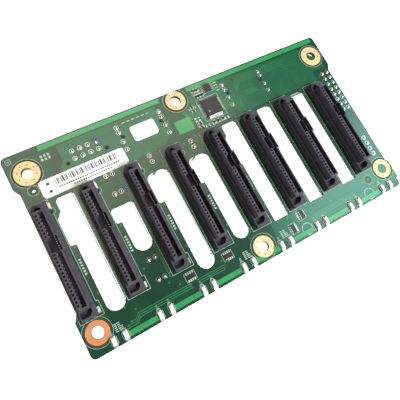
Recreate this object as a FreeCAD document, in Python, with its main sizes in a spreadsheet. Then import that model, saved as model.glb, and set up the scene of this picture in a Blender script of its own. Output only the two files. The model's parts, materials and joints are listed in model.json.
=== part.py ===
import FreeCAD, Part
import math
import os
import re
import Sketcher

# Drive backplane board: a printed board with eight upright drive receptacles on its front face,
# vent slots between them, and cable sockets, headers and capacitors on its rear face.
# Millimetres, +Z out of the front face. The origin is the centre of the lower left mounting
# hole, on the front face of the board.

doc = FreeCAD.newDocument("drive_backplane")

# ---------------------------------------------------------------------------
# Driving dimensions
# ---------------------------------------------------------------------------

SIZES = [
    ("end_margin", "13.5", "last bay's middle to the right edge"),
    ("top_strip", "20.8", "receptacles' upper ends to the top edge"),
    ("board_thickness", "1.6", "board"),
    ("board_corner", "1.8", "radius of the board's corners"),
    ("datum_left", "5.0", "datum hole to the left edge"),
    ("datum_bottom", "7.3", "datum hole to the bottom edge"),
    ("relief_depth", "1.5", "how far the card guides' reliefs step in"),
    ("relief_slope", "2.5", "length along Y of each relief's slope"),
    ("left_relief_low", "5.9", "start of the left relief above the datum hole"),
    ("left_relief_drop", "12.1", "end of the left relief below the top edge"),
    ("right_relief_drop", "14.6", "end of the right relief below the top edge"),
    ("hole_radius", "2.0", "bore of each mounting hole"),
    ("upper_hole_drop", "8.4", "upper side holes below the top edge"),
    ("upper_left_run", "1.4", "upper left hole right of the datum hole"),
    ("upper_right_inset", "5.7", "upper right hole to the right edge"),
    ("top_hole_run", "10.8", "top middle hole right of the fourth bay"),
    ("top_hole_drop", "4.1", "top middle hole below the top edge"),
    ("low_right_inset", "5.3", "lower right hole to the right edge"),
    ("low_right_rise", "2.1", "lower right hole above the datum hole"),
    ("low_mid_run", "3.6", "lower middle hole left of the fifth bay"),
    ("low_mid_drop", "2.0", "lower middle hole below the datum hole"),
    ("tooling_radius", "0.75", "tooling holes"),
    ("upper_tooling_left", "0.5", "upper tooling hole left of the upper left hole"),
    ("upper_tooling_drop", "6.6", "upper tooling hole below the upper left hole"),
    ("lower_tooling_left", "8.6", "lower tooling hole left of the lower right hole"),
    ("lower_tooling_drop", "1.3", "lower tooling hole below the lower right hole"),
    ("first_bay_run", "0.5", "first drive bay right of the datum hole"),
    ("bay_rise", "25.9", "middle of the drive bays above the datum hole"),
    ("bay_pitch", "16.9", "drive bay to drive bay"),
    ("bay_count", "8", "drive bays"),
    ("vent_left", "5.4", "vent slot's left wall from the bay before it"),
    ("vent_right", "4.7", "vent slot's right wall from the bay after it"),
    ("vent_widening", "2.0", "extra width of a vent slot's upper part"),
    ("vent_step", "3.5", "step in the vent slots above the bays' middle"),
    ("vent_slant_low", "14.0", "lower end of the slant above the bays' middle"),
    ("vent_slant_high", "16.4", "upper end of the slant above the bays' middle"),
    ("vent_corner", "1.5", "small corner radius of the vent slots"),
    ("vent_step_corner", "0.8", "corner radius of the vent slots' steps"),
    ("vent_shoulder", "3.0", "large corner radius of the middle vent slots"),
    ("long_vent_top", "21.2", "long vent slots' top above the bays' middle"),
    ("long_vent_bottom", "25.2", "long vent slots' bottom below the bays' middle"),
    ("first_vent_bottom", "22.8", "first vent slot's bottom below the bays' middle"),
    ("short_vent_top", "9.2", "second vent slot's top"),
    ("short_vent_bottom", "9.2", "second vent slot's bottom"),
    ("third_vent_top", "15.4", "third vent slot's top"),
    ("fourth_vent_top", "14.4", "fourth vent slot's top"),
    ("fourth_vent_bottom", "21.7", "fourth vent slot's bottom"),
    ("foot_left", "3.5", "receptacle's foot left of its slot's middle"),
    ("foot_height", "1.2", "receptacle's foot"),
    ("base_left", "3.1", "receptacle's base left of its slot's middle"),
    ("base_right", "2.6", "receptacle's base right of its slot's middle"),
    ("base_low", "21.0", "receptacle's base below its slot's middle"),
    ("base_high", "20.8", "receptacle's base above its slot's middle"),
    ("base_height", "3.0", "receptacle's base"),
    ("end_slant_length", "1.9", "slanted corner of the base's upper end, along Y"),
    ("end_slant_width", "1.2", "slanted corner of the base's upper end, along X"),
    ("end_corner", "0.5", "small corner of the base's upper end"),
    ("tower_left", "2.45", "receptacle's tower left of its slot's middle"),
    ("tower_right", "1.35", "receptacle's tower right of its slot's middle"),
    ("tower_low", "17.5", "receptacle's tower below its slot's middle"),
    ("tower_high", "17.6", "receptacle's tower above its slot's middle"),
    ("tower_height", "7.0", "receptacle's tower"),
    ("tower_chamfer", "0.25", "edge of the tower's top"),
    ("mating_width", "1.6", "slot that takes the drive's plug"),
    ("mating_length", "33.6", "slot that takes the drive's plug"),
    ("mating_floor", "1.4", "bottom of the slot above the board"),
    ("power_pitch", "1.27", "contacts P1 to P15 and S1 to S7"),
    ("side_pitch", "0.8", "contacts S8 to S14"),
    ("power_count", "15", "contacts of the power row"),
    ("signal_count", "7", "contacts of each signal row"),
    ("power_first", "15.72", "lowest power contact below the slot's middle"),
    ("signal_first", "8.41", "lowest signal contact above the slot's middle"),
    ("side_first", "2.8", "lowest side contact above the slot's middle"),
    ("window_width", "0.7", "contact window across the slot"),
    ("window_length", "0.72", "contact window along the slot"),
    ("window_place", "1.62", "middle of the windows left of the slot's middle"),
    ("rail_height", "1.2", "bar that closes the windows towards the slot"),
    ("side_trough", "1.55", "far wall of the side contacts' trough, right of the slot's middle"),
    ("side_trough_end", "0.3", "trough beyond the middle of its end contacts"),
    ("key_left", "2.0", "left wall of the slot's key"),
    ("key_low", "2.75", "lower end of the key"),
    ("key_high", "7.7", "upper end of the key"),
    ("bulge_right", "1.85", "right wall of the bulge beside the key"),
    ("bulge_low", "1.9", "lower end of the bulge"),
    ("bulge_high", "8.5", "upper end of the bulge"),
    ("guide_wall", "0.9", "outer wall of the guide pockets"),
    ("guide_gap", "0.3", "tower to the guide pockets"),
    ("guide_floor", "0.8", "floor of the guide pockets above the board"),
    ("guide_right", "1.2", "right wall of the guide pockets"),
    ("guide_slant", "1.1", "slanted corner of the guide pockets"),
    ("contact_width", "0.44", "contact strip"),
    ("side_contact_width", "0.28", "side contact strip"),
    ("contact_thickness", "0.2", "contact strip"),
    ("contact_reach", "0.18", "how far a contact stands into the slot"),
    ("contact_tip", "5.6", "contact's tip above the board"),
    ("contact_clearance", "0.05", "contact's foot to the wall behind it"),
    ("tab_thickness", "0.25", "hold-down tab"),
    ("tab_length", "2.1", "hold-down tab along the receptacle"),
    ("tab_height", "1.9", "hold-down tab's leaf"),
    ("tab_foot", "0.75", "hold-down tab's foot"),
    ("tab_inset", "0.4", "hold-down tab from the end of the base"),
    ("peg_run", "2.9", "peg hole right of the slot's middle"),
    ("peg_rise", "17.25", "peg hole above the slot's middle"),
    ("peg_side", "1.2", "peg hole, square"),
    ("chip_side", "6.9", "controller chip's body"),
    ("chip_height", "1.4", "controller chip's body above the board"),
    ("chip_standoff", "0.1", "gap under the chips"),
    ("chip_run", "5.85", "controller chip right of the fifth bay"),
    ("chip_rise", "8.65", "controller chip above the receptacles' upper ends"),
    ("lead_pitch", "0.5", "controller chip's leads"),
    ("lead_count", "12", "leads on each side of the controller chip"),
    ("lead_width", "0.22", "controller chip's leads"),
    ("lead_reach", "1.0", "leads out of the chips"),
    ("lead_thickness", "0.15", "leads of the chips"),
    ("small_chip_length", "3.0", "small chip along X"),
    ("small_chip_width", "2.4", "small chip along Y"),
    ("small_chip_run", "2.35", "small chip right of the controller chip"),
    ("small_chip_gap", "2.0", "small chip above the controller chip's leads"),
    ("small_lead_pitch", "0.65", "small chip's leads"),
    ("small_lead_count", "4", "leads on each side of the small chip"),
    ("array_drop", "3.5", "resistor arrays below the receptacles' lower ends"),
    ("array_step", "0.2", "array below the sixth bay, higher than the others"),
    ("turned_array_drop", "6.8", "turned array below the receptacles' lower ends"),
    ("turned_array_run", "10.2", "turned array right of the fifth bay"),
    ("third_array_run", "1.0", "array right of the third bay"),
    ("fourth_array_run", "0.5", "array left of the fourth bay"),
    ("sixth_array_run", "0.6", "array left of the sixth bay"),
    ("array_length", "3.2", "resistor array along its row of terminals"),
    ("array_width", "1.7", "resistor array's body across"),
    ("array_height", "0.55", "resistor array"),
    ("array_terminal", "0.45", "resistor array's terminal, along the row"),
    ("array_lip", "0.35", "resistor array's terminal beyond the body"),
    ("passive_length", "1.6", "chip resistors and capacitors"),
    ("passive_width", "0.8", "chip resistors and capacitors"),
    ("passive_height", "0.5", "chip resistors and capacitors"),
    ("passive_cap", "0.3", "end caps of the chip resistors and capacitors"),
    ("passive_pitch", "1.3", "chip resistors in a row above the controller chip"),
    ("passive_wide_pitch", "2.0", "chip resistors in the row below the controller chip"),
    ("passive_row", "2.6", "upper row of chip resistors above the lower one"),
    ("passive_above", "1.8", "chip resistors above the controller chip's leads"),
    ("passive_below", "1.7", "chip resistors below the controller chip's leads"),
    ("passive_left", "3.1", "chip resistors left of the controller chip's leads"),
    ("passive_lead", "3.35", "first chip resistor of the rows above, left of the chip's middle"),
    ("passive_high", "2.85", "highest chip resistor left of the chip, above its middle"),
    ("passive_stagger", "1.8", "next chip resistor below the highest"),
    ("passive_low", "4.35", "lower chip resistor left of the chip, below its middle"),
    ("light_width", "1.6", "status light along X"),
    ("light_length", "3.0", "status light along Y"),
    ("light_base", "0.5", "status light's base"),
    ("light_height", "1.1", "status light above the board"),
    ("light_inset", "0.2", "status light's lens inside its base"),
    ("light_drop", "5.0", "status lights' middle below the datum hole"),
    ("first_light_run", "2.9", "first light of a bay right of its slot's middle"),
    ("second_light_run", "7.1", "second light of a bay right of its slot's middle"),
    ("label_length", "31.9", "long label along X"),
    ("label_width", "6.6", "long label along Y"),
    ("label_run", "2.6", "long label's left edge right of the first bay"),
    ("label_gap", "1.2", "long label above the receptacles' upper ends"),
    ("label_corner", "1.2", "radius of the labels' corners"),
    ("label_thickness", "0.12", "labels"),
    ("small_label_length", "10.0", "small label along X"),
    ("small_label_width", "6.3", "small label along Y"),
    ("small_label_run", "6.2", "small label's left edge right of the third bay"),
    ("small_label_gap", "7.5", "small label above the receptacles' upper ends"),
    ("cage_width", "17.6", "cable socket's shell along X"),
    ("cage_depth", "15.8", "cable socket's shell along Y"),
    ("cage_height", "8.6", "cable socket's shell"),
    ("cage_wall", "0.4", "cable socket's sheet metal"),
    ("cage_lip", "0.5", "rim at the shell's mouth"),
    ("cage_setback", "0.6", "shell's mouth from the board's top edge"),
    ("first_cage_run", "10.8", "first cable socket right of the third bay"),
    ("cage_pitch", "46.3", "cable socket to cable socket"),
    ("insert_depth", "9.0", "cable socket's insert along Y"),
    ("insert_height", "4.6", "cable socket's insert"),
    ("insert_gap", "0.05", "insert to the shell"),
    ("insert_slot", "1.3", "slot in the cable socket's insert"),
    ("insert_slot_depth", "6.0", "slot in the cable socket's insert"),
    ("insert_slot_wall", "1.2", "insert at each end of its slot"),
    ("shroud_length", "15.6", "power header along X"),
    ("shroud_width", "8.6", "power header along Y"),
    ("shroud_height", "9.9", "power header"),
    ("shroud_wall", "1.1", "power header"),
    ("shroud_floor", "2.4", "power header"),
    ("shroud_run", "5.3", "power header right of the second bay"),
    ("shroud_drop", "8.5", "power header below the top edge"),
    ("latch_length", "3.4", "power header's latch ramp along X"),
    ("latch_reach", "1.2", "power header's latch ramp along Y"),
    ("latch_height", "2.5", "power header's latch ramp"),
    ("header_pin", "0.64", "square pins"),
    ("power_pin_pitch", "3.0", "power header's pins"),
    ("power_pin_length", "8.4", "power header's pins below the board"),
    ("pin_pitch", "2.54", "signal headers' pins"),
    ("pin_length", "8.5", "signal headers' pins below the board"),
    ("pin_base", "2.5", "signal headers' plastic"),
    ("signal_inset", "4.3", "signal header to the right edge"),
    ("signal_rise", "14.8", "signal header above the bays' middle"),
    ("signal_rows", "8", "signal header's pins along Y"),
    ("light_pins", "4", "four-pin header's pins along Y"),
    ("light_header_inset", "4.8", "four-pin header to the right edge"),
    ("light_header_drop", "12.8", "four-pin header below the bays' middle"),
    ("can_run", "8.8", "capacitors right of the second bay"),
    ("can_upper_far", "20.9", "capacitor above the bays' middle"),
    ("can_upper_near", "13.6", "capacitor above the bays' middle"),
    ("can_lower_near", "12.7", "capacitor below the bays' middle"),
    ("can_lower_far", "20.2", "capacitor below the bays' middle"),
    ("third_can_run", "8.2", "capacitor right of the third bay"),
    ("third_can_gap", "1.85", "that capacitor below the cable socket"),
    ("fourth_can_run", "8.3", "capacitor right of the fourth bay"),
    ("fourth_can_rise", "18.9", "that capacitor above the bays' middle"),
    ("can_radius", "3.15", "capacitor can"),
    ("can_height", "11.0", "capacitor can"),
    ("can_edge", "0.4", "capacitor can's edge"),
]

sheet = doc.addObject("Spreadsheet::Sheet", "Sizes")
for row, (alias, value, note) in enumerate(SIZES, start=1):
    sheet.set("A%d" % row, note)
    sheet.set("B%d" % row, value)
    sheet.setAlias("B%d" % row, alias)
doc.recompute()


def bound(text):
    """An expression on the sheet: every name with an underscore is a cell of it."""
    return re.sub(r"\b([a-z]+(?:_[a-z]+)+)\b", r"Sizes.\1", str(text))


def size(alias):
    return float(sheet.get(alias))


# ---------------------------------------------------------------------------
# How shapes are drawn
# ---------------------------------------------------------------------------

nodes = []


def keep(item, label):
    """Mark an object as a sub-part that is written to its own file."""
    item.Label = label
    nodes.append(item)
    return item


def place(item, x=0, y=0, z=0):
    """Tie an object's place to the sheet."""
    for axis, text in zip("xyz", (x, y, z)):
        item.setExpression("Placement.Base." + axis, bound(text))
    return item


def box(name, x, y, z, length, width, height):
    """A block from its lowest corner, all tied to the sheet."""
    item = doc.addObject("Part::Box", name)
    item.setExpression("Length", bound(length))
    item.setExpression("Width", bound(width))
    item.setExpression("Height", bound(height))
    return place(item, x, y, z)


def cut(name, base, tool):
    item = doc.addObject("Part::Cut", name)
    item.Base = base
    item.Tool = tool
    return item


def fuse(name, shapes):
    item = doc.addObject("Part::MultiFuse", name)
    item.Shapes = shapes
    return item


def group(name, links):
    """Separate solids that share one sub-part, or one more copy of a finished piece."""
    item = doc.addObject("Part::Compound", name)
    item.Links = links
    return item


def new_body(name):
    body = doc.addObject("PartDesign::Body", name)
    body.AllowCompound = True
    return body


def plane(body, role):
    return [item for item in body.Origin.OriginFeatures if item.Role == role][0]


def sketch_on(body, name, role="XY_Plane", lift=0):
    """A sketch on one of the body's own planes, moved along the plane's normal."""
    sketch = body.newObject("Sketcher::SketchObject", name)
    sketch.AttachmentSupport = [(plane(body, role), "")]
    sketch.MapMode = "FlatFace"
    sketch.setExpression("AttachmentOffset.Base.z", bound(lift))
    return sketch


def value_of(text):
    """The present value of an expression, for the first guess of a sketch."""
    names = set(re.findall(r"\b[a-z]+(?:_[a-z]+)+\b", str(text)))
    number = str(text)
    for name in sorted(names, key=len, reverse=True):
        number = re.sub(r"\b%s\b" % name, repr(size(name)), number)
    return doc.Sizes.evalExpression(number)


def pin_point(sketch, curve, end, x, y):
    """Fix one point of a curve by its distances from the sketch's origin."""
    for kind, text in (("DistanceX", x), ("DistanceY", y)):
        guess = float(value_of(text))
        index = sketch.addConstraint(Sketcher.Constraint(kind, -1, 1, curve, end, guess))
        sketch.setExpression("Constraints[%d]" % index, bound(text))


def outline(sketch, points, round_first=False):
    """A closed outline through points. With round_first its first side is a half circle."""
    spots = [FreeCAD.Vector(float(value_of(x)), float(value_of(y)), 0) for x, y in points]
    count = len(points)
    for index in range(count):
        start, end = spots[index], spots[(index + 1) % count]
        if index == 0 and round_first:
            middle = (start + end) / 2
            circle = Part.Circle(middle, FreeCAD.Vector(0, 0, 1), (end - start).Length / 2)
            sketch.addGeometry(Part.ArcOfCircle(circle, math.pi, 2 * math.pi), False)
        else:
            sketch.addGeometry(Part.LineSegment(start, end), False)
    for index in range(count):
        after = (index + 1) % count
        sketch.addConstraint(Sketcher.Constraint("Coincident", index, 2, after, 1))
        pin_point(sketch, index, 1, *points[index])
    if round_first:
        level = float(value_of(points[0][1]))
        index = sketch.addConstraint(Sketcher.Constraint("DistanceY", -1, 1, 0, 3, level))
        sketch.setExpression("Constraints[%d]" % index, bound(points[0][1]))
    return sketch


def rectangle(sketch, left, low, right, high):
    return outline(sketch, [(left, low), (right, low), (right, high), (left, high)])


def circle(sketch, x, y, radius):
    """One more circle in a sketch."""
    centre = FreeCAD.Vector(float(value_of(x)), float(value_of(y)), 0)
    ring = Part.Circle(centre, FreeCAD.Vector(0, 0, 1), float(value_of(radius)))
    curve = sketch.addGeometry(ring, False)
    pin_point(sketch, curve, 3, x, y)
    index = sketch.addConstraint(Sketcher.Constraint("Radius", curve, ring.Radius))
    sketch.setExpression("Constraints[%d]" % index, bound(radius))


def pad(body, sketch, length):
    item = body.newObject("PartDesign::Pad", sketch.Name + "_pad")
    item.Profile = sketch
    item.setExpression("Length", bound(length))
    sketch.Visibility = False
    return item


def pocket(body, sketch, length):
    """Cut from the sketch's plane against its normal."""
    item = body.newObject("PartDesign::Pocket", sketch.Name + "_cut")
    item.Profile = sketch
    item.setExpression("Length", bound(length))
    return item


def row(body, feature, sketch, axis, pitch, count):
    """Repeat a feature along one axis of its sketch."""
    item = body.newObject("PartDesign::LinearPattern", feature.Name + "_row")
    item.Originals = [feature]
    item.Direction = (sketch, [axis])
    item.Mode = "Spacing"
    item.setExpression("Offset", bound(pitch))
    item.setExpression("Occurrences", bound(count))
    body.Tip = item
    return item


def upright_edges(shape, spots, reach=0.01):
    """Names of the edges along Z that stand at the given places."""
    found = []
    for number, edge in enumerate(shape.Edges, start=1):
        ends = [vertex.Point for vertex in edge.Vertexes]
        if len(ends) != 2 or abs(ends[0].z - ends[1].z) < reach:
            continue
        for x, y in spots:
            if all(abs(point.x - x) < reach and abs(point.y - y) < reach for point in ends):
                found.append("Edge%d" % number)
                break
    return found


def round_corners(body, name, corners, radius):
    """Fillet the upright edges that stand at the given corners."""
    doc.recompute()
    base = body.Tip
    spots = [(float(value_of(x)), float(value_of(y))) for x, y in corners]
    item = body.newObject("PartDesign::Fillet", name)
    item.Base = (base, upright_edges(base.Shape, spots))
    item.setExpression("Radius", bound(radius))
    return item


# ---------------------------------------------------------------------------
# Circuit board
# ---------------------------------------------------------------------------

def bay_x(number):
    return "first_bay_run + %d * bay_pitch" % number


LEFT = "-datum_left"
RIGHT = "first_bay_run + (bay_count - 1) * bay_pitch + end_margin"
LOW = "-datum_bottom"
HIGH = "bay_rise + base_high + top_strip"
LEFT_IN = "relief_depth - datum_left"
RIGHT_IN = RIGHT + " - relief_depth"
REAR = "-board_thickness"
UPPER_HOLES = HIGH + " - upper_hole_drop"

# x and y of each mounting hole; the datum hole comes first
MOUNTING_HOLES = [
    ("0", "0"),
    ("upper_left_run", UPPER_HOLES),
    (bay_x(3) + " + top_hole_run", HIGH + " - top_hole_drop"),
    (RIGHT + " - upper_right_inset", UPPER_HOLES),
    (RIGHT + " - low_right_inset", "low_right_rise"),
    (bay_x(4) + " - low_mid_run", "-low_mid_drop"),
]


def vent_points(number, top, bottom, slanted):
    """Corners of the vent slot right of a bay, from its lower left, anticlockwise."""
    left = bay_x(number) + " + vent_left"
    wide = left + " - vent_widening"
    right = bay_x(number + 1) + " - vent_right"
    low = "bay_rise - %s + (bay_pitch - vent_left - vent_right) / 2" % bottom
    high = "bay_rise + " + top
    points = [(left, low), (right, low), (right, high)]
    if slanted:
        points.append((left, high))
        points.append((left, "bay_rise + vent_slant_high"))
        points.append((wide, "bay_rise + vent_slant_low"))
    else:
        points.append((wide, high))
    points.append((wide, "bay_rise + vent_step"))
    points.append((left, "bay_rise + vent_step"))
    return points


# bay on the left, top, bottom, whether its upper left side is slanted, upper corner radius
VENTS = [
    (0, "long_vent_top", "first_vent_bottom", True, "vent_corner"),
    (1, "short_vent_top", "short_vent_bottom", False, "vent_corner"),
    (2, "third_vent_top", "long_vent_bottom", False, "vent_shoulder"),
    (3, "fourth_vent_top", "fourth_vent_bottom", False, "vent_shoulder"),
    (4, "long_vent_top", "long_vent_bottom", True, "vent_corner"),
    (5, "long_vent_top", "long_vent_bottom", True, "vent_corner"),
    (6, "long_vent_top", "long_vent_bottom", True, "vent_corner"),
]


def make_board():
    body = new_body("board")
    plan = outline(sketch_on(body, "board_outline", lift=REAR), [
        (LEFT, LOW), (RIGHT_IN, LOW),
        (RIGHT_IN, HIGH + " - right_relief_drop - relief_slope"), (RIGHT, HIGH + " - right_relief_drop"),
        (RIGHT, HIGH), (LEFT, HIGH),
        (LEFT, HIGH + " - left_relief_drop"), (LEFT_IN, HIGH + " - left_relief_drop - relief_slope"),
        (LEFT_IN, "left_relief_low + relief_slope"), (LEFT, "left_relief_low"),
    ])
    pad(body, plan, "board_thickness")
    round_corners(body, "board_corners", [(LEFT, LOW), (RIGHT_IN, LOW), (RIGHT, HIGH), (LEFT, HIGH)],
                  "board_corner")

    corners = {"vent_step_corner": [], "vent_corner": [], "vent_shoulder": []}
    for number, top, bottom, slanted, corner in VENTS:
        points = vent_points(number, top, bottom, slanted)
        plan = outline(sketch_on(body, "vent_%d" % (number + 1)), points, round_first=True)
        pocket(body, plan, "board_thickness")
        corners[corner].extend(points[2:4])
        corners["vent_step_corner"].append(points[-2])
    for radius, spots in corners.items():
        round_corners(body, radius + "s", spots, radius)

    holes = sketch_on(body, "round_holes")
    for x, y in MOUNTING_HOLES:
        circle(holes, x, y, "hole_radius")
    circle(holes, "upper_left_run - upper_tooling_left", UPPER_HOLES + " - upper_tooling_drop",
           "tooling_radius")
    circle(holes, RIGHT + " - low_right_inset - lower_tooling_left",
           "low_right_rise - lower_tooling_drop", "tooling_radius")
    pocket(body, holes, "board_thickness")
    left = bay_x(0) + " + peg_run - peg_side / 2"
    low = "bay_rise + peg_rise - peg_side / 2"
    pegs = rectangle(sketch_on(body, "peg_hole"), left, low, left + " + peg_side", low + " + peg_side")
    row(body, pocket(body, pegs, "board_thickness"), pegs, "H_Axis", "bay_pitch", "bay_count")
    return keep(body, "circuit_board")


# ---------------------------------------------------------------------------
# Drive receptacles
# ---------------------------------------------------------------------------

def make_receptacle():
    """Moulded housing of one receptacle. Its origin is the middle of its slot, on the board."""
    body = new_body("receptacle")
    # the foot and the base, each with the upper end's corners cut away
    for name, left, height in (("foot", "-foot_left", "foot_height"), ("base", "-base_left", "base_height")):
        plan = outline(sketch_on(body, name), [
            (left, "-base_low"), ("base_right", "-base_low"), ("base_right", "base_high - end_corner"),
            ("base_right - end_corner", "base_high"), (left + " + end_slant_width", "base_high"),
            (left, "base_high - end_slant_length"),
        ])
        pad(body, plan, height)
    tower = rectangle(sketch_on(body, "tower"), "-tower_left", "-tower_low", "tower_right", "tower_high")
    block = pad(body, tower, "tower_height")
    doc.recompute()
    rim = []
    for number, edge in enumerate(block.Shape.Edges, start=1):
        if edge.BoundBox.ZMin > size("tower_height") - 0.01:
            rim.append("Edge%d" % number)
    crest = body.newObject("PartDesign::Chamfer", "crest")
    crest.Base = (block, rim)
    crest.setExpression("Size", bound("tower_chamfer"))
    bulge = rectangle(sketch_on(body, "bulge"), "tower_right / 2", "bulge_low", "bulge_right", "bulge_high")
    pad(body, bulge, "tower_height")
    top = "tower_height"

    slot = rectangle(sketch_on(body, "mating_slot", lift=top), "-mating_width / 2",
                     "-mating_length / 2", "mating_width / 2", "mating_length / 2")
    pocket(body, slot, "tower_height - mating_floor")
    key = rectangle(sketch_on(body, "key", lift=top), "-key_left", "key_low", "0", "key_high")
    pocket(body, key, "tower_height - mating_floor")

    # the power row and the signal row, left of the slot: a trough open to the slot below a rail,
    # and a window down to it above each contact
    left = "-window_place - window_width / 2"
    right = "-window_place + window_width / 2"
    for name, first, count in (("power", "-power_first", "power_count"),
                               ("signal", "signal_first", "signal_count")):
        low = first + " - window_length / 2"
        plan = rectangle(sketch_on(body, name + "_window", lift=top), left, low,
                         right, first + " + window_length / 2")
        row(body, pocket(body, plan, "rail_height"), plan, "V_Axis", "power_pitch", count)
        last = "%s + (%s - 1) * power_pitch + window_length / 2" % (first, count)
        trough = rectangle(sketch_on(body, name + "_trough", lift="tower_height - rail_height"),
                           left, low, "0", last)
        pocket(body, trough, "tower_height - rail_height - mating_floor")

    # the side row, right of the slot beside the key: one open trough
    last = "side_first + (signal_count - 1) * side_pitch + side_trough_end"
    trough = rectangle(sketch_on(body, "side_trough_plan", lift=top),
                       "0", "side_first - side_trough_end", "side_trough", last)
    pocket(body, trough, "tower_height - mating_floor")

    # guide pockets for the plug's ends: a slanted corner below, a pointed end above
    far = "-base_low + guide_wall"
    near = "-tower_low - guide_gap"
    plan = outline(sketch_on(body, "low_guide", lift="base_height"), [
        ("-base_left + guide_gap", far), ("guide_right - guide_slant", far),
        ("guide_right", far + " + guide_slant"), ("guide_right", near), ("-base_left + guide_gap", near),
    ])
    pocket(body, plan, "base_height - guide_floor")
    far = "base_high - guide_wall"
    near = "tower_high + guide_gap"
    plan = outline(sketch_on(body, "high_guide", lift="base_height"), [
        ("-base_left + guide_wall", near), ("guide_right / 2", near),
        ("guide_right / 2", near + " + guide_slant / 2"), ("-guide_slant / 2", far),
        ("-guide_slant", far), ("-base_left + guide_wall", near + " + guide_slant / 2"),
    ])
    pocket(body, plan, "base_height - guide_floor")
    return body


def strip(sketch, wall, side):
    """A spring strip that stands at the wall behind it and leans into the slot."""
    sign = "-" if side < 0 else ""
    foot = "(%s - contact_clearance)" % wall
    tip = "(mating_width / 2 - contact_reach)"
    points = [
        (sign + foot, "mating_floor"),
        (sign + "(" + foot + " - contact_thickness)", "mating_floor"),
        (sign + tip, "contact_tip"),
        (sign + "(" + tip + " + contact_thickness)", "contact_tip"),
    ]
    if side < 0:
        points.reverse()
    return outline(sketch, points)


def make_contacts():
    """All 29 spring contacts of one receptacle, as separate solids in the housing's frame."""
    body = new_body("contacts")
    window = "(window_place + window_width / 2)"
    # the sketches' normal points along -Y, so a pad from a lifted sketch runs to lower Y
    for name, first, count, pitch, width, wall, side in (
            ("power_strip", "-power_first", "power_count", "power_pitch", "contact_width", window, -1),
            ("signal_strip", "signal_first", "signal_count", "power_pitch", "contact_width", window, -1),
            ("side_strip", "side_first", "signal_count", "side_pitch", "side_contact_width",
             "side_trough", 1)):
        lift = "-(%s) - %s / 2" % (first, width)
        sketch = sketch_on(body, name, "XZ_Plane", lift=lift)
        strip(sketch, wall, side)
        one = pad(body, sketch, width)
        doc.recompute()
        item = row(body, one, sketch, "N_Axis", pitch, count)
        item.Reversed = True
    return body


def make_tabs():
    """Hold-down tabs: bent metal against the right side of each receptacle, soldered down."""
    body = new_body("tab")
    sketch = sketch_on(body, "tab_side", "XZ_Plane")
    outline(sketch, [
        ("base_right", "0"), ("base_right + tab_foot", "0"),
        ("base_right + tab_foot", "tab_thickness"),
        ("base_right + tab_thickness", "tab_thickness"),
        ("base_right + tab_thickness", "tab_height"), ("base_right", "tab_height"),
    ])
    pad(body, sketch, "tab_length")
    tabs = []
    for number in range(int(size("bay_count"))):
        for name, y in (("low", "bay_rise - base_low + tab_inset + tab_length"),
                        ("high", "bay_rise + base_high - tab_inset")):
            copy = group("tab_%s_%d" % (name, number + 1), [body])
            tabs.append(place(copy, bay_x(number), y))
    return keep(group("tabs", tabs), "hold_down_tabs")


def make_bays():
    housing = make_receptacle()
    contacts = make_contacts()
    for number in range(int(size("bay_count"))):
        copy = group("receptacle_%d" % (number + 1), [housing])
        keep(place(copy, bay_x(number), "bay_rise"), "drive_receptacle_%d" % (number + 1))
        copy = group("contacts_%d" % (number + 1), [contacts])
        keep(place(copy, bay_x(number), "bay_rise"), "drive_contacts_%d" % (number + 1))
    make_tabs()


# ---------------------------------------------------------------------------
# Chips
# ---------------------------------------------------------------------------

CHIP_X = bay_x(4) + " + chip_run"
CHIP_Y = "bay_rise + base_high + chip_rise"


def lead_row(name, edge, pitch, count):
    """A row of sloping leads on the +X side of a chip, centred on its middle."""
    body = new_body(name)
    level = "(chip_height / 2)"
    lift = "(%s - 1) * %s / 2 - lead_width / 2" % (count, pitch)
    sketch = outline(sketch_on(body, name + "_side", "XZ_Plane", lift=lift), [
        (edge + " + lead_reach - 2 * lead_thickness", "0"), (edge + " + lead_reach", "0"),
        (edge, level + " + lead_thickness"), (edge, level),
    ])
    one = pad(body, sketch, "lead_width")
    doc.recompute()
    item = row(body, one, sketch, "N_Axis", pitch, count)
    item.Reversed = True
    return body


def turned_copy(name, item, quarter):
    copy = group(name, [item])
    copy.Placement.Rotation = FreeCAD.Rotation(FreeCAD.Vector(0, 0, 1), 90 * quarter)
    return copy


def make_chips():
    body = new_body("controller")
    half = "chip_side / 2"
    plan = rectangle(sketch_on(body, "controller_plan", lift="chip_standoff"),
                     "-" + half, "-" + half, half, half)
    pad(body, plan, "chip_height - chip_standoff")
    keep(place(body, CHIP_X, CHIP_Y), "controller_chip")
    side = lead_row("controller_lead_row", half, "lead_pitch", "lead_count")
    sides = [turned_copy("controller_side_%d" % quarter, side, quarter) for quarter in range(4)]
    keep(place(group("controller_sides", sides), CHIP_X, CHIP_Y), "controller_leads")

    middle_x = CHIP_X + " + small_chip_run"
    low = CHIP_Y + " + chip_side / 2 + lead_reach + small_chip_gap"
    chip = box("small_chip_body", middle_x + " - small_chip_width / 2", low, "chip_standoff",
               "small_chip_width", "small_chip_length", "chip_height - 3 * chip_standoff")
    keep(chip, "small_chip")
    side = lead_row("small_lead_row", "small_chip_width / 2", "small_lead_pitch", "small_lead_count")
    sides = [turned_copy("small_side_%d" % quarter, side, quarter) for quarter in (0, 2)]
    middle_y = low + " + small_chip_length / 2"
    keep(place(group("small_sides", sides), middle_x, middle_y), "small_chip_leads")


# ---------------------------------------------------------------------------
# Small parts on the front face
# ---------------------------------------------------------------------------

# x and y of each resistor array, and whether its rows of terminals run along Y
ARRAY_Y = "bay_rise - base_low - array_drop"
ARRAYS = [
    (bay_x(2) + " + third_array_run", ARRAY_Y, False),
    (bay_x(3) + " - fourth_array_run", ARRAY_Y, False),
    (bay_x(4) + " + turned_array_run", "bay_rise - base_low - turned_array_drop", True),
    (bay_x(5) + " - sixth_array_run", ARRAY_Y + " + array_step", True),
]

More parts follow.
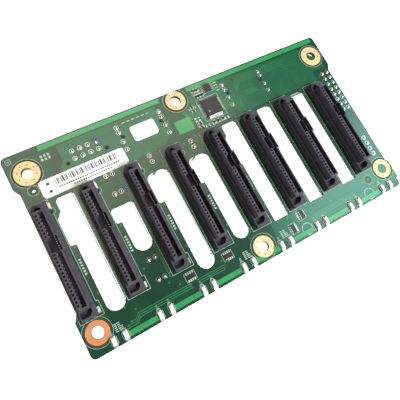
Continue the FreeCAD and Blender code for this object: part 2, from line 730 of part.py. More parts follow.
# x and y of each chip resistor round the controller chip, and whether it lies along Y
FIRST_X = CHIP_X + " - passive_lead"
ABOVE = CHIP_Y + " + chip_side / 2 + lead_reach + passive_above"
BELOW = CHIP_Y + " - chip_side / 2 - lead_reach - passive_below"
BESIDE = CHIP_X + " - chip_side / 2 - lead_reach - passive_left"
PASSIVES = [
    (FIRST_X, ABOVE, True),
    (FIRST_X + " + passive_pitch", ABOVE, True),
    (FIRST_X + " + 2 * passive_pitch", ABOVE, True),
    (FIRST_X, ABOVE + " + passive_row", True),
    (FIRST_X + " + passive_pitch", ABOVE + " + passive_row", True),
    (CHIP_X + " - passive_wide_pitch", BELOW, True),
    (CHIP_X, BELOW, True),
    (CHIP_X + " + passive_wide_pitch", BELOW, True),
    (BESIDE, CHIP_Y + " + passive_high", False),
    (BESIDE, CHIP_Y + " + passive_high - passive_stagger", False),
    (BESIDE, CHIP_Y + " - passive_low", False),
    (BESIDE, BELOW, False),
]


def across(item_x, item_y, along_y, length, width):
    """Lowest corner and sides of a small part, lying along X or along Y."""
    if along_y:
        length, width = width, length
    return ("%s - (%s) / 2" % (item_x, length), "%s - (%s) / 2" % (item_y, width), length, width)


def make_arrays():
    bodies, terminals = [], []
    for number, (x, y, along_y) in enumerate(ARRAYS, start=1):
        left, low, length, width = across(x, y, along_y, "array_length", "array_width")
        bodies.append(box("array_%d" % number, left, low, 0, length, width, "array_height"))
        for place_in_row in range(4):
            shift = "(%d - 1.5) * array_length / 4" % place_in_row
            for sign in ("-", "+"):
                reach = "%s (array_width + array_lip) / 2" % sign
                spot = (x + " " + reach, y + " + " + shift) if along_y else (x + " + " + shift, y + " " + reach)
                corner = across(spot[0], spot[1], along_y, "array_terminal", "array_lip")
                name = "array_%d_end_%d%s" % (number, place_in_row, "a" if sign == "-" else "b")
                terminals.append(box(name, corner[0], corner[1], 0, corner[2], corner[3], "array_height"))
    keep(group("array_bodies", bodies), "resistor_arrays")
    keep(group("array_ends", terminals), "resistor_array_ends")


def make_passives():
    bodies, caps = [], []
    for number, (x, y, along_y) in enumerate(PASSIVES, start=1):
        inner = "(passive_length - 2 * passive_cap)"
        left, low, length, width = across(x, y, along_y, inner, "passive_width")
        bodies.append(box("passive_%d" % number, left, low, 0, length, width, "passive_height"))
        for sign in ("-", "+"):
            reach = " %s (passive_length - passive_cap) / 2" % sign
            spot = (x, y + reach) if along_y else (x + reach, y)
            corner = across(spot[0], spot[1], along_y, "passive_cap", "passive_width")
            name = "passive_%d_end_%s" % (number, "a" if sign == "-" else "b")
            caps.append(box(name, corner[0], corner[1], 0, corner[2], corner[3], "passive_height"))
    keep(group("passive_bodies", bodies), "chip_resistors")
    keep(group("passive_ends", caps), "chip_resistor_ends")


def make_lights():
    """Two status lights below each bay: a white base and a milky lens on it."""
    bases, lenses = [], []
    low = "-light_drop - light_length / 2"
    for number in range(int(size("bay_count"))):
        for name, run in (("first", "first_light_run"), ("second", "second_light_run")):
            left = bay_x(number) + " + %s - light_width / 2" % run
            bases.append(box("light_base_%s_%d" % (name, number + 1), left, low, 0,
                             "light_width", "light_length", "light_base"))
            lenses.append(box("light_lens_%s_%d" % (name, number + 1), left + " + light_inset",
                              low + " + 2 * light_inset", "light_base",
                              "light_width - 2 * light_inset", "light_length - 4 * light_inset",
                              "light_height - light_base"))
    keep(group("light_bases", bases), "status_light_bases")
    keep(group("light_lenses", lenses), "status_light_lenses")


def make_label(name, run, rise, length, width):
    body = new_body(name)
    plan = rectangle(sketch_on(body, name + "_plan"), "0", "0", length, width)
    pad(body, plan, "label_thickness")
    corners = [("0", "0"), (length, "0"), (length, width), ("0", width)]
    round_corners(body, name + "_corners", corners, "label_corner")
    return keep(place(body, run, rise), name)


# ---------------------------------------------------------------------------
# Parts on the rear face
# ---------------------------------------------------------------------------

CAGE_BACK = HIGH + " - cage_setback - cage_depth"


def make_cable_sockets():
    """Sheet-metal shells open at the board's top edge, with a slotted plastic insert inside."""
    for number in range(2):
        middle = bay_x(2) + " + first_cage_run + %d * cage_pitch" % number
        mouth = HIGH + " - cage_setback"
        left = middle + " - cage_width / 2"
        back = CAGE_BACK
        low = REAR + " - cage_height"
        shell = box("shell_%d" % number, left, back, low, "cage_width", "cage_depth", "cage_height")
        rim = box("rim_%d" % number, left + " - cage_lip", mouth + " - cage_wall", low,
                  "cage_width + 2 * cage_lip", "cage_wall", "cage_height")
        hollow = box("hollow_%d" % number, left + " + cage_wall", back + " + cage_wall",
                     low + " + cage_wall", "cage_width - 2 * cage_wall", "cage_depth",
                     "cage_height - 2 * cage_wall")
        whole = fuse("shell_and_rim_%d" % number, [shell, rim])
        keep(cut("cage_%d" % number, whole, hollow), "cable_socket_shell_%d" % (number + 1))

        inside = "(cage_width - 2 * cage_wall - 2 * insert_gap)"
        wide = left + " + cage_wall + insert_gap"
        deep = back + " + cage_wall"
        floor = "-board_thickness - cage_height / 2 - insert_height / 2"
        block = box("insert_%d" % number, wide, deep, floor, inside, "insert_depth", "insert_height")
        slit = box("insert_slit_%d" % number, wide + " + insert_slot_wall",
                   deep + " + insert_depth - insert_slot_depth", floor + " + (insert_height - insert_slot) / 2",
                   inside + " - 2 * insert_slot_wall", "insert_slot_depth + insert_gap", "insert_slot")
        keep(cut("slotted_insert_%d" % number, block, slit), "cable_socket_insert_%d" % (number + 1))


def pins(name, middle_x, middle_y, across_count, along_count, pitch, length):
    """A grid of square pins down from the board's rear face."""
    posts = []
    for column in range(across_count):
        for line in range(along_count):
            x = "%s + (%s) * %s - header_pin / 2" % (middle_x, column - (across_count - 1) / 2, pitch)
            y = "%s + (%s) * %s - header_pin / 2" % (middle_y, line - (along_count - 1) / 2, pitch)
            post = "%s_%d_%d" % (name, column, line)
            posts.append(box(post, x, y, "-board_thickness - " + length,
                             "header_pin", "header_pin", length))
    return posts


def make_headers():
    middle_x = bay_x(1) + " + shroud_run"
    middle_y = HIGH + " - shroud_drop"
    left = middle_x + " - shroud_length / 2"
    low = middle_y + " - shroud_width / 2"
    down = "-board_thickness - shroud_height"
    block = box("shroud_block", left, low, down, "shroud_length", "shroud_width", "shroud_height")
    latch = box("latch", middle_x + " - latch_length / 2", middle_y + " + shroud_width / 2",
                down + " + shroud_height / 4", "latch_length", "latch_reach", "latch_height")
    well = box("shroud_well", left + " + shroud_wall", low + " + shroud_wall", down,
               "shroud_length - 2 * shroud_wall", "shroud_width - 2 * shroud_wall",
               "shroud_height - shroud_floor")
    posts = pins("power_post", middle_x, middle_y, 4, 2, "power_pin_pitch", "power_pin_length")
    open_block = cut("shroud", fuse("shroud_and_latch", [block, latch]), well)
    drilled = cut("power_shroud", open_block, group("power_post_places", posts))
    keep(drilled, "power_header")
    keep(group("power_posts", posts), "power_header_pins")

    for name, run, rise, wide, long in (
            ("signal", RIGHT + " - signal_inset", "bay_rise + signal_rise", 2, "signal_rows"),
            ("light", RIGHT + " - light_header_inset", "bay_rise - light_header_drop", 1, "light_pins")):
        count = int(float(value_of(long)))
        posts = pins(name + "_post", run, rise, wide, count, "pin_pitch", "pin_length")
        block = box(name + "_block", "%s - %d * pin_pitch / 2" % (run, wide),
                    "%s - %s * pin_pitch / 2" % (rise, long), "-board_thickness - pin_base",
                    "%d * pin_pitch" % wide, "%s * pin_pitch" % long, "pin_base")
        drilled = cut(name + "_header", block, group(name + "_post_places", posts))
        keep(drilled, name + "_header_block")
        keep(group(name + "_posts", posts), name + "_header_pins")


CANS = [
    (bay_x(1) + " + can_run", "bay_rise + can_upper_far"),
    (bay_x(1) + " + can_run", "bay_rise + can_upper_near"),
    (bay_x(1) + " + can_run", "bay_rise - can_lower_near"),
    (bay_x(1) + " + can_run", "bay_rise - can_lower_far"),
    (bay_x(2) + " + third_can_run", CAGE_BACK + " - can_radius - third_can_gap"),
    (bay_x(3) + " + fourth_can_run", "bay_rise + fourth_can_rise"),
]


def make_capacitors():
    """Aluminium cans on the rear face, turned in profile."""
    master = new_body("can")
    edge = outline(sketch_on(master, "can_profile", "XZ_Plane"), [
        ("0", "-can_height"), ("can_radius - can_edge", "-can_height"),
        ("can_radius", "-can_height + can_edge"), ("can_radius", "0"), ("0", "0"),
    ])
    turned = master.newObject("PartDesign::Revolution", "can_turned")
    turned.Profile = edge
    turned.ReferenceAxis = (edge, ["V_Axis"])
    turned.Angle = 360
    cans = []
    for number, (x, y) in enumerate(CANS, start=1):
        cans.append(place(group("can_%d" % number, [master]), x, y, REAR))
    return keep(group("cans", cans), "capacitors")


# ---------------------------------------------------------------------------
# Build, check and write
# ---------------------------------------------------------------------------

make_board()
make_bays()
make_chips()
make_arrays()
make_passives()
make_lights()
make_label("long_label", bay_x(0) + " + label_run", "bay_rise + base_high + label_gap",
           "label_length", "label_width")
make_label("small_label", bay_x(2) + " + small_label_run", "bay_rise + base_high + small_label_gap",
           "small_label_length", "small_label_width")
make_cable_sockets()
make_headers()
make_capacitors()
doc.recompute()

failed = [item.Name for item in doc.Objects if "Invalid" in item.State or "Error" in item.State]
for item in nodes:
    if item.Shape.isNull() or not item.Shape.isValid() or not item.Shape.Solids:
        failed.append(item.Label)
if failed:
    raise RuntimeError("these did not build: " + ", ".join(failed))

os.makedirs("parts", exist_ok=True)
for item in nodes:
    item.Shape.exportStep("parts/%s.step" % item.Label)
print("%d sub-parts written" % len(nodes))
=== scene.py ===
import bmesh
import bpy
import json
import math
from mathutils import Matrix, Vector


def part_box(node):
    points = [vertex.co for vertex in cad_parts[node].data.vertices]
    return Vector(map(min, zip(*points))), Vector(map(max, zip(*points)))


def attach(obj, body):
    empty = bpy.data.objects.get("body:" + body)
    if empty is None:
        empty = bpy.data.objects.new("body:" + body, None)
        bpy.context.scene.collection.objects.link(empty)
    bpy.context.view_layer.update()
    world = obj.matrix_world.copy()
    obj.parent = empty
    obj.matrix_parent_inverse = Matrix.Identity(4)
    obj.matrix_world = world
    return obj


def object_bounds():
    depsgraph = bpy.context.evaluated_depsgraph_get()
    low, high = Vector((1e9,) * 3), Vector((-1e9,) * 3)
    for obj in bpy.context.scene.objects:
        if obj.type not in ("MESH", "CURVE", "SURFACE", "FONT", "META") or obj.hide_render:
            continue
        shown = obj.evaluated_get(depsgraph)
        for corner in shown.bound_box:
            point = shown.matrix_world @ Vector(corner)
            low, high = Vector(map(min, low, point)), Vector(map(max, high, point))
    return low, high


# Drive backplane board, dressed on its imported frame. Metres, +Z out of the front face. The
# datum hole's middle on the front face is the origin.
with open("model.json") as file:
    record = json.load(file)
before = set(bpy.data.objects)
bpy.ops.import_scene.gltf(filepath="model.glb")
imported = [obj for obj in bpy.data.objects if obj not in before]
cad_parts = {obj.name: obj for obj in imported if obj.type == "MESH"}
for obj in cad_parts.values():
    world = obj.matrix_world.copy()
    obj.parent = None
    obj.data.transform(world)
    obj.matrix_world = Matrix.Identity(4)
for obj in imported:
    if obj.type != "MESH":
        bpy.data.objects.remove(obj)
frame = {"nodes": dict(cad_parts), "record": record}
cad_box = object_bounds()
mm = 0.001


# ---------------------------------------------------------------------------
# Circuit board
# Glass-epoxy laminate under green solder mask, glossy on both faces. Its outline and vents are
# routed, so the cut edges are dull. Their dark olive colour is painted shade; the routed laminate
# itself is a paler yellow-green.
# ---------------------------------------------------------------------------

def shader_of(material):
    """The material's own shader."""
    return material.node_tree.nodes["Principled BSDF"]


def new_material(name, roughness, metallic=0.0):
    """A material with one shader, whose even values are set on its own sockets."""
    material = bpy.data.materials.new(name)
    material.use_nodes = True
    shader_of(material).inputs["Roughness"].default_value = roughness
    shader_of(material).inputs["Metallic"].default_value = metallic
    return material


def glossy_mask(name):
    """A material with the mask's strong, slightly green gloss."""
    material = new_material(name, mask_roughness)
    shader_of(material).inputs["Specular IOR Level"].default_value = 1.0
    shader_of(material).inputs["Specular Tint"].default_value = (0.85, 1, 0.96, 1)
    return material


def object_noise(material, scale):
    """Noise over the piece's own coordinates; scale is the size of its grain in metres."""
    tree = material.node_tree
    place = tree.nodes.new("ShaderNodeTexCoord")
    noise = tree.nodes.new("ShaderNodeTexNoise")
    noise.inputs["Scale"].default_value = 1 / scale
    noise.inputs["Detail"].default_value = 4.0
    tree.links.new(place.outputs["Object"], noise.inputs["Vector"])
    return noise.outputs["Fac"]


def two_tone(material, first, second, scale):
    """Base colour that wanders between two tones."""
    tree = material.node_tree
    ramp = tree.nodes.new("ShaderNodeValToRGB")
    for stop, position, colour in zip(ramp.color_ramp.elements, (0.35, 0.65), (first, second)):
        stop.position = position
        stop.color = (*colour, 1)
    tree.links.new(object_noise(material, scale), ramp.inputs["Fac"])
    tree.links.new(ramp.outputs["Color"], shader_of(material).inputs["Base Color"])
    return ramp.outputs["Color"]


def uneven(material, low, high, scale):
    """Roughness that wanders between two values."""
    tree = material.node_tree
    span = tree.nodes.new("ShaderNodeMapRange")
    span.inputs["To Min"].default_value = low
    span.inputs["To Max"].default_value = high
    tree.links.new(object_noise(material, scale), span.inputs["Value"])
    tree.links.new(span.outputs["Result"], shader_of(material).inputs["Roughness"])


def grain(material, scale, depth, strength=0.4):
    """Fine relief."""
    tree = material.node_tree
    bump = tree.nodes.new("ShaderNodeBump")
    bump.inputs["Strength"].default_value = strength
    bump.inputs["Distance"].default_value = depth
    tree.links.new(object_noise(material, scale), bump.inputs["Height"])
    tree.links.new(bump.outputs["Normal"], shader_of(material).inputs["Normal"])


def dress(node, material):
    """A CAD node keeps its mesh and gets a finish."""
    piece = frame["nodes"][node]
    piece.data.materials.clear()
    piece.data.materials.append(material)
    return piece


board_low, board_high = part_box("circuit_board")
mask_roughness, cut_roughness = 0.23, 0.85
solder_mask = glossy_mask("solder_mask")
mask_colour = two_tone(solder_mask, (0.0022, 0.032, 0.016), (0.0038, 0.046, 0.023), 9 * mm)
grain(solder_mask, 0.5 * mm, 0.01 * mm, 0.25)

# the faces point up or down and the cut edges don't, so the normal tells them apart
tree = solder_mask.node_tree
place = tree.nodes.new("ShaderNodeTexCoord")
axes = tree.nodes.new("ShaderNodeSeparateXYZ")
tree.links.new(place.outputs["Normal"], axes.inputs["Vector"])
upright = tree.nodes.new("ShaderNodeMath")
upright.operation = "ABSOLUTE"
tree.links.new(axes.outputs["Z"], upright.inputs[0])
face = tree.nodes.new("ShaderNodeMath")
face.operation = "GREATER_THAN"
face.inputs[1].default_value = 0.5
tree.links.new(upright.outputs["Value"], face.inputs[0])
# painted shade: the cut edges get a dark olive colour in place of the laminate's paler
# yellow-green
painted_edge_shade = tree.nodes.new("ShaderNodeMix")
painted_edge_shade.data_type = "RGBA"
painted_edge_shade.inputs["A"].default_value = (0.020, 0.040, 0.014, 1)
tree.links.new(face.outputs["Value"], painted_edge_shade.inputs["Factor"])
tree.links.new(mask_colour, painted_edge_shade.inputs["B"])
tree.links.new(painted_edge_shade.outputs["Result"], shader_of(solder_mask).inputs["Base Color"])
dull = tree.nodes.new("ShaderNodeMapRange")
dull.inputs["To Min"].default_value = cut_roughness
dull.inputs["To Max"].default_value = mask_roughness
tree.links.new(face.outputs["Value"], dull.inputs["Value"])
tree.links.new(dull.outputs["Result"], shader_of(solder_mask).inputs["Roughness"])
dress("circuit_board", solder_mask)


# ---------------------------------------------------------------------------
# Copper under the mask
# Etched copper foil, which shows through the mask as a paler, raised green: earth strips along
# the long edges, a test patch, signal traces, and wide ground areas in the layer below.
# ---------------------------------------------------------------------------

def add_object(name, data):
    """An object at the origin, linked to the scene."""
    item = bpy.data.objects.new(name, data)
    bpy.context.scene.collection.objects.link(item)
    return item


def piece_from(work, name, material):
    """Finish a bmesh as one piece that rides on the board."""
    bmesh.ops.remove_doubles(work, verts=work.verts, dist=touching)
    bmesh.ops.recalc_face_normals(work, faces=work.faces)
    mesh = bpy.data.meshes.new(name)
    work.to_mesh(mesh)
    work.free()
    piece = add_object(name, mesh)
    piece.data.materials.append(material)
    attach(piece, "root")
    return piece


def trim_to_board(work):
    """Cut off what would hang over the board's straight edges."""
    inset = 0.2 * mm
    for corner, outward in ((board_low, (-1, 0, 0)), (board_low, (0, -1, 0)),
                            (board_high, (1, 0, 0)), (board_high, (0, 1, 0))):
        place = corner - Vector(outward) * inset
        parts = list(work.verts) + list(work.edges) + list(work.faces)
        cut = bmesh.ops.bisect_plane(work, geom=parts, dist=touching, plane_co=place,
                                     plane_no=outward, clear_outer=True)["geom_cut"]
        open_edges = [item for item in cut if isinstance(item, bmesh.types.BMEdge)]
        if open_edges:
            bmesh.ops.holes_fill(work, edges=open_edges, sides=0)


def raise_faces(work, faces, rise):
    """Give flat faces a thickness along Z."""
    grown = bmesh.ops.extrude_face_region(work, geom=faces)["geom"]
    tops = [item for item in grown if isinstance(item, bmesh.types.BMVert)]
    bmesh.ops.translate(work, verts=tops, vec=(0, 0, rise))


def slab(work, x0, y0, x1, y1, z, rise):
    """A flat block between two corners."""
    made = bmesh.ops.create_grid(work, x_segments=1, y_segments=1, size=0.5)
    bmesh.ops.scale(work, verts=made["verts"], vec=(x1 - x0, y1 - y0, 1))
    bmesh.ops.translate(work, verts=made["verts"], vec=((x0 + x1) / 2, (y0 + y1) / 2, z))
    raise_faces(work, list(made["verts"][0].link_faces), rise)


def pad(work, x, y, half_x, half_y, z, rise):
    """A flat block round its middle."""
    slab(work, x - half_x, y - half_y, x + half_x, y + half_y, z, rise)


def ribbon(work, points, width, z, rise):
    """A track through points, with mitred bends; a last point on the first closes it."""
    spots = [Vector((x, y, z)) for x, y in points]
    ways = [(after - before).normalized() for before, after in zip(spots, spots[1:])]
    closed = (spots[0] - spots[-1]).length < touching
    sharpest = 0.4
    edge = None
    faces = []
    for number, spot in enumerate(spots):
        before = ways[number - 1] if number or closed else ways[0]
        after = ways[number] if number < len(ways) else (ways[0] if closed else ways[-1])
        mitre = (before + after).normalized()
        across = Vector((-mitre.y, mitre.x, 0))
        half = across * width / 2 / max(across.dot(Vector((-before.y, before.x, 0))), sharpest)
        if edge is None:
            pair = [work.verts.new(spot - half), work.verts.new(spot + half)]
            edge = first = work.edges.new(pair)
            continue
        if closed and number == len(ways):
            faces += bmesh.ops.contextual_create(work, geom=[edge, first])["faces"]
            break
        grown = bmesh.ops.extrude_edge_only(work, edges=[edge])["geom"]
        face = [item for item in grown if isinstance(item, bmesh.types.BMFace)][0]
        ahead = [other for corner in pair for link in corner.link_edges
                 for other in [link.other_vert(corner)] if link in face.edges and link is not edge]
        ahead[0].co = spot - half
        ahead[1].co = spot + half
        faces.append(face)
        pair = ahead
        edge = work.edges.get(pair)
    bmesh.ops.recalc_face_normals(work, faces=faces)
    raise_faces(work, faces, rise)


def ring(work, x, y, inner, outer, z, rise, steps=40):
    """A flat washer, spun from its section."""
    start = work.verts.new((x + inner, y, z))
    stop = work.verts.new((x + outer, y, z))
    section = work.edges.new((start, stop))
    bmesh.ops.spin(work, geom=[section, start, stop], cent=(x, y, z), axis=(0, 0, 1),
                   angle=2 * math.pi, steps=steps, use_merge=True)
    faces, more = set(), {face for corner in (start, stop) for face in corner.link_faces}
    while more:
        faces |= more
        more = {other for face in more for edge in face.edges
                for other in edge.link_faces} - faces
    raise_faces(work, list(faces), rise)


touching = 0.0001 * mm
left, low, rear = board_low
right, high, front = board_high
copper_rise = 0.035 * mm

# a bay is where the middle of its drive's connector meets the board
bays = []
for number in range(1, 9):
    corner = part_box("drive_receptacle_%d" % number)[0]
    bays.append(Vector((corner.x + 3.5 * mm, corner.y + 21.0 * mm, 0)))
bay_y = bays[0].y

holes = {mount["name"]: Vector(mount["pos_m"]) for mount in frame["record"]["mounts"]
         if mount["kind"] == "bore"}
datum = holes["datum_hole"]
wide_holes = ("upper_left_hole", "upper_right_hole")

pour_green = glossy_mask("copper_under_mask")
two_tone(pour_green, (0.026, 0.235, 0.072), (0.034, 0.275, 0.090), 7 * mm)
strips = bmesh.new()
strip_inset, strip_width = 0.5 * mm, 1.9 * mm
top_hole = holes["top_middle_hole"]


def top_strips(work, z, rise):
    """Earth strips along the upper edge, left and right of its hole."""
    for start, stop in ((left + 13 * mm, top_hole.x - 6 * mm),
                        (top_hole.x + 6 * mm, right - 1.8 * mm)):
        slab(work, start, high - strip_inset - strip_width, stop, high - strip_inset, z, rise)


top_strips(strips, front, copper_rise)
slab(strips, top_hole.x - 5.0 * mm, bay_y + 24 * mm, top_hole.x + 1.8 * mm, bay_y + 29.5 * mm,
     front, copper_rise)
for bay, after in zip(bays, bays[1:]):
    slab(strips, bay.x + 8.3 * mm, low + 1.0 * mm, after.x + 1.8 * mm, low + 2.8 * mm,
         front, copper_rise)
piece_from(strips, "copper_strips", pour_green)

trace_green = glossy_mask("trace_under_mask")
two_tone(trace_green, (0.016, 0.150, 0.055), (0.022, 0.180, 0.066), 5 * mm)
traces = bmesh.new()
light_trace, fine_trace = 0.32 * mm, 0.2 * mm


def front_trace(points, width=fine_trace):
    """A trace on the front face."""
    ribbon(traces, points, width, front, copper_rise)


# three lanes feed the status lights along the lower edge
step_x, lane_y = bays[0].x + 12.2 * mm, datum.y - 0.8 * mm
for lane in range(3):
    drop = lane * 0.75 * mm
    lane_low = lane_y - drop - 1.4 * mm
    front_trace([(step_x - (1.5 + lane * 1.5) * mm, lane_low), (step_x, lane_low),
                 (step_x + 1.4 * mm, lane_y - drop),
                 (bays[1].x + 16.4 * mm, lane_y - drop)], light_trace)
    front_trace([(bays[2].x + 2.4 * mm, lane_y - drop),
                 (bays[3].x - (2 + lane) * mm, lane_y - drop),
                 (bays[3].x + (1 - lane) * mm, lane_y - drop + 3 * mm)], light_trace)
    front_trace([(bays[5].x + 2.2 * mm, lane_y - drop), (bays[7].x - 9 * mm, lane_y - drop)],
                light_trace)

# fans of traces leave three sides of the controller chip
chip_low, chip_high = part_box("controller_leads")
first_lead, lead_pitch = 1.7, 0.5
for lane in range(8):
    along = (first_lead + lane * lead_pitch) * mm
    start_x = chip_low.x + along
    turn_y = chip_low.y - (0.6 + lane * 0.12) * mm
    front_trace([(start_x, chip_low.y), (start_x, turn_y),
                 (start_x - 0.8 * mm, turn_y - 0.8 * mm),
                 (start_x - 0.8 * mm, bay_y + 22.2 * mm)])
    start_y = chip_low.y + along
    run_x = chip_high.x + (3.2 + lane * 0.5) * mm
    front_trace([(chip_high.x, start_y), (run_x, start_y),
                 (run_x + 1.6 * mm, start_y - 1.6 * mm), (run_x + 1.6 * mm, bay_y + 22.2 * mm)])
    fan_x = chip_low.x - lane * 0.3 * mm
    front_trace([(chip_low.x, start_y), (fan_x - 1.0 * mm, start_y),
                 (fan_x - 2.2 * mm, start_y + 1.2 * mm), (fan_x - 5.0 * mm, start_y + 1.2 * mm)])

# signal pairs run down beside each receptacle
for bay in bays[1:]:
    for lane in range(2):
        fall = bay.x - (4.85 + lane * 0.5) * mm
        front_trace([(fall - 1.2 * mm, bay_y + 21.6 * mm), (fall, bay_y + 20.4 * mm),
                     (fall, bay_y - (19.5 + lane) * mm)])

# buses along the upper edge and from the signal header's pins
for lane in range(5):
    level = high - (4.4 + lane * 0.55) * mm
    bend_x = bays[3].x - lane * 0.5 * mm
    front_trace([(bays[3].x - 2 * mm, level), (bend_x + 1 * mm, level),
                 (bend_x + 4 * mm, level - 3.0 * mm), (bend_x + 4 * mm, bay_y + 27.0 * mm)])
for lane in range(6):
    level = high - (4.2 + lane * 0.6) * mm
    bend_x = bays[7].x - lane * mm
    front_trace([(bays[5].x + 2.0 * mm, level - 3.0 * mm), (bays[5].x + 5.0 * mm, level),
                 (bend_x - 3.0 * mm, level), (bend_x - 0.2 * mm, level - 2.8 * mm),
                 (bend_x - 0.2 * mm, bay_y + 24.4 * mm)])
    bend_x = bays[6].x - lane * 0.8 * mm
    bend_y = bay_y + lane * 0.4 * mm
    front_trace([(bend_x - 1.0 * mm, bay_y + 22.6 * mm), (bend_x - 1.0 * mm, bend_y + 26.0 * mm),
                 (bend_x - 3.4 * mm, bend_y + 28.4 * mm),
                 (bays[5].x + 5.0 * mm, bend_y + 28.4 * mm)])
pin_pitch = 2.54
for lane in range(8):
    level = bay_y + (6.3 + lane * pin_pitch) * mm
    front_trace([(bays[7].x + 3.9 * mm, level - 1.2 * mm),
                 (bays[7].x + 5.6 * mm, level - 1.2 * mm), (bays[7].x + 6.8 * mm, level)])
piece_from(traces, "front_traces", trace_green)

ground_green = glossy_mask("ground_under_mask")
two_tone(ground_green, (0.0055, 0.080, 0.038), (0.0085, 0.100, 0.048), 6 * mm)
ground = bmesh.new()
ground_rise = 0.012 * mm


def sheet(work, points, z, rise):
    """A flat sheet with straight sides."""
    corners = [work.verts.new((x, y, z)) for x, y in points]
    raise_faces(work, [work.faces.new(corners)], rise)


upper_y, over_bays = high - 3.0 * mm, bay_y + 22.3 * mm
lower_y, under_bays = low + 3.2 * mm, bay_y - 21.8 * mm
sheet(ground, [(bays[0].x + 13.5 * mm, upper_y), (bays[0].x + 13.5 * mm, high - 9.5 * mm),
               (bays[0].x + 10.0 * mm, high - 13.5 * mm), (bays[0].x + 10.0 * mm, over_bays),
               (bays[3].x - 1.0 * mm, over_bays), (bays[3].x + 2.0 * mm, bay_y + 26.0 * mm),
               (bays[3].x + 2.0 * mm, upper_y)], front, ground_rise)
sheet(ground, [(bays[4].x + 3.0 * mm, lower_y), (right - 0.6 * mm, lower_y),
               (right - 0.6 * mm, under_bays), (bays[4].x + 3.0 * mm, under_bays)],
      front, ground_rise)
sheet(ground, [(top_hole.x + 7.0 * mm, upper_y), (top_hole.x + 3.0 * mm, high - 11.5 * mm),
               (top_hole.x + 3.0 * mm, over_bays), (bays[7].x + 4.2 * mm, over_bays),
               (bays[7].x + 4.2 * mm, high - 15.0 * mm), (right - 2.4 * mm, high - 15.0 * mm),
               (right - 2.4 * mm, high - 11.6 * mm), (right - 10.5 * mm, upper_y)],
      front, ground_rise)
piece_from(ground, "ground_sheets", ground_green)


# ---------------------------------------------------------------------------
# Mounting rings
# Plated copper rings on both faces, stitched with small vias; the datum hole's ring is bare
# copper. The holes are drilled and plated before the mask, which stays clear of the rings.
# ---------------------------------------------------------------------------

ring_thickness = 0.05 * mm
barrel_edge, ring_edge, wide_ring_edge = 2.05 * mm, 4.0 * mm, 4.5 * mm
round_steps = 64
both_faces = (front, rear - ring_thickness)
bare_copper = new_material("bare_copper", 0.38, metallic=0.35)
two_tone(bare_copper, (0.66, 0.25, 0.11), (0.74, 0.31, 0.15), 2 * mm)
work = bmesh.new()
for face_z in both_faces:
    ring(work, datum.x, datum.y, barrel_edge, ring_edge, face_z, ring_thickness, round_steps)
piece_from(work, "datum_hole_ring", bare_copper)

tinned_copper = new_material("tinned_copper", 0.42, metallic=0.2)
two_tone(tinned_copper, (0.76, 0.50, 0.24), (0.86, 0.63, 0.36), 2 * mm)
via_brown = new_material("via_plug", 0.5)
two_tone(via_brown, (0.16, 0.06, 0.02), (0.24, 0.10, 0.04), 0.5 * mm)
bare_laminate = new_material("bare_laminate", 0.6)
two_tone(bare_laminate, (0.012, 0.022, 0.006), (0.022, 0.034, 0.010), 1 * mm)
rings, plugs, gaps = bmesh.new(), bmesh.new(), bmesh.new()


def disc(work, x, y, z, radius, steps):
    """A thin round dot."""
    made = bmesh.ops.create_circle(work, cap_ends=True, segments=steps, radius=radius)
    bmesh.ops.translate(work, verts=made["verts"], vec=(x, y, z))
    raise_faces(work, list(made["verts"][0].link_faces), 0.01 * mm)


for name, spot in holes.items():
    outer = wide_ring_edge if name in wide_holes else ring_edge
    ring(gaps, spot.x, spot.y, outer + 0.02 * mm, outer + 0.55 * mm, front, 0.018 * mm,
         round_steps)
    if name == "datum_hole":
        continue
    for face_z in both_faces:
        ring(rings, spot.x, spot.y, barrel_edge, outer, face_z, ring_thickness, round_steps)
    for number in range(8):
        turn = math.radians(45 * number + 22.5)
        reach = (outer + 2.0 * mm) / 2
        disc(plugs, spot.x + reach * math.cos(turn), spot.y + reach * math.sin(turn),
             front + ring_thickness, 0.24 * mm, 10)
trim_to_board(rings)
trim_to_board(gaps)
piece_from(rings, "mounting_rings", tinned_copper)
piece_from(plugs, "stitching_vias", via_brown)
piece_from(gaps, "ring_clearances", bare_laminate)

# painted shade: the barrels are a much darker brown than the rings' copper, standing in for the
# shade inside the holes
barrel_painted_shade = new_material("barrel_painted_shade", 0.45, metallic=0.3)
two_tone(barrel_painted_shade, (0.22, 0.11, 0.04), (0.36, 0.20, 0.08), 0.8 * mm)
barrels = bmesh.new()
for spot in holes.values():
    ring(barrels, spot.x, spot.y, 2.01 * mm, barrel_edge, rear, front - rear, round_steps)
piece_from(barrels, "plated_barrels", barrel_painted_shade)


# ---------------------------------------------------------------------------
# Tooling holes
# Small plated holes near two corners, with a dark ring of old flux and a thin printed circle.
# The board was held on pins through them while its parts were placed.
# ---------------------------------------------------------------------------

flux_brown = new_material("flux_brown", 0.35)
two_tone(flux_brown, (0.045, 0.030, 0.012), (0.080, 0.055, 0.022), 0.6 * mm)
tooling_spots = [holes["upper_left_hole"] + Vector((-0.5, -6.6, 0)) * mm,
                 holes["lower_right_hole"] + Vector((-8.6, -1.3, 0)) * mm]
work = bmesh.new()
for spot in tooling_spots:
    for face_z in both_faces:
        ring(work, spot.x, spot.y, 0.76 * mm, 1.4 * mm, face_z, ring_thickness)
piece_from(work, "tooling_rings", flux_brown)


# ---------------------------------------------------------------------------
# Vias
# Plated holes of 0.3 mm between the layers, where traces end or change faces. The mask covers
# them, so each is a small raised green ring.
# ---------------------------------------------------------------------------

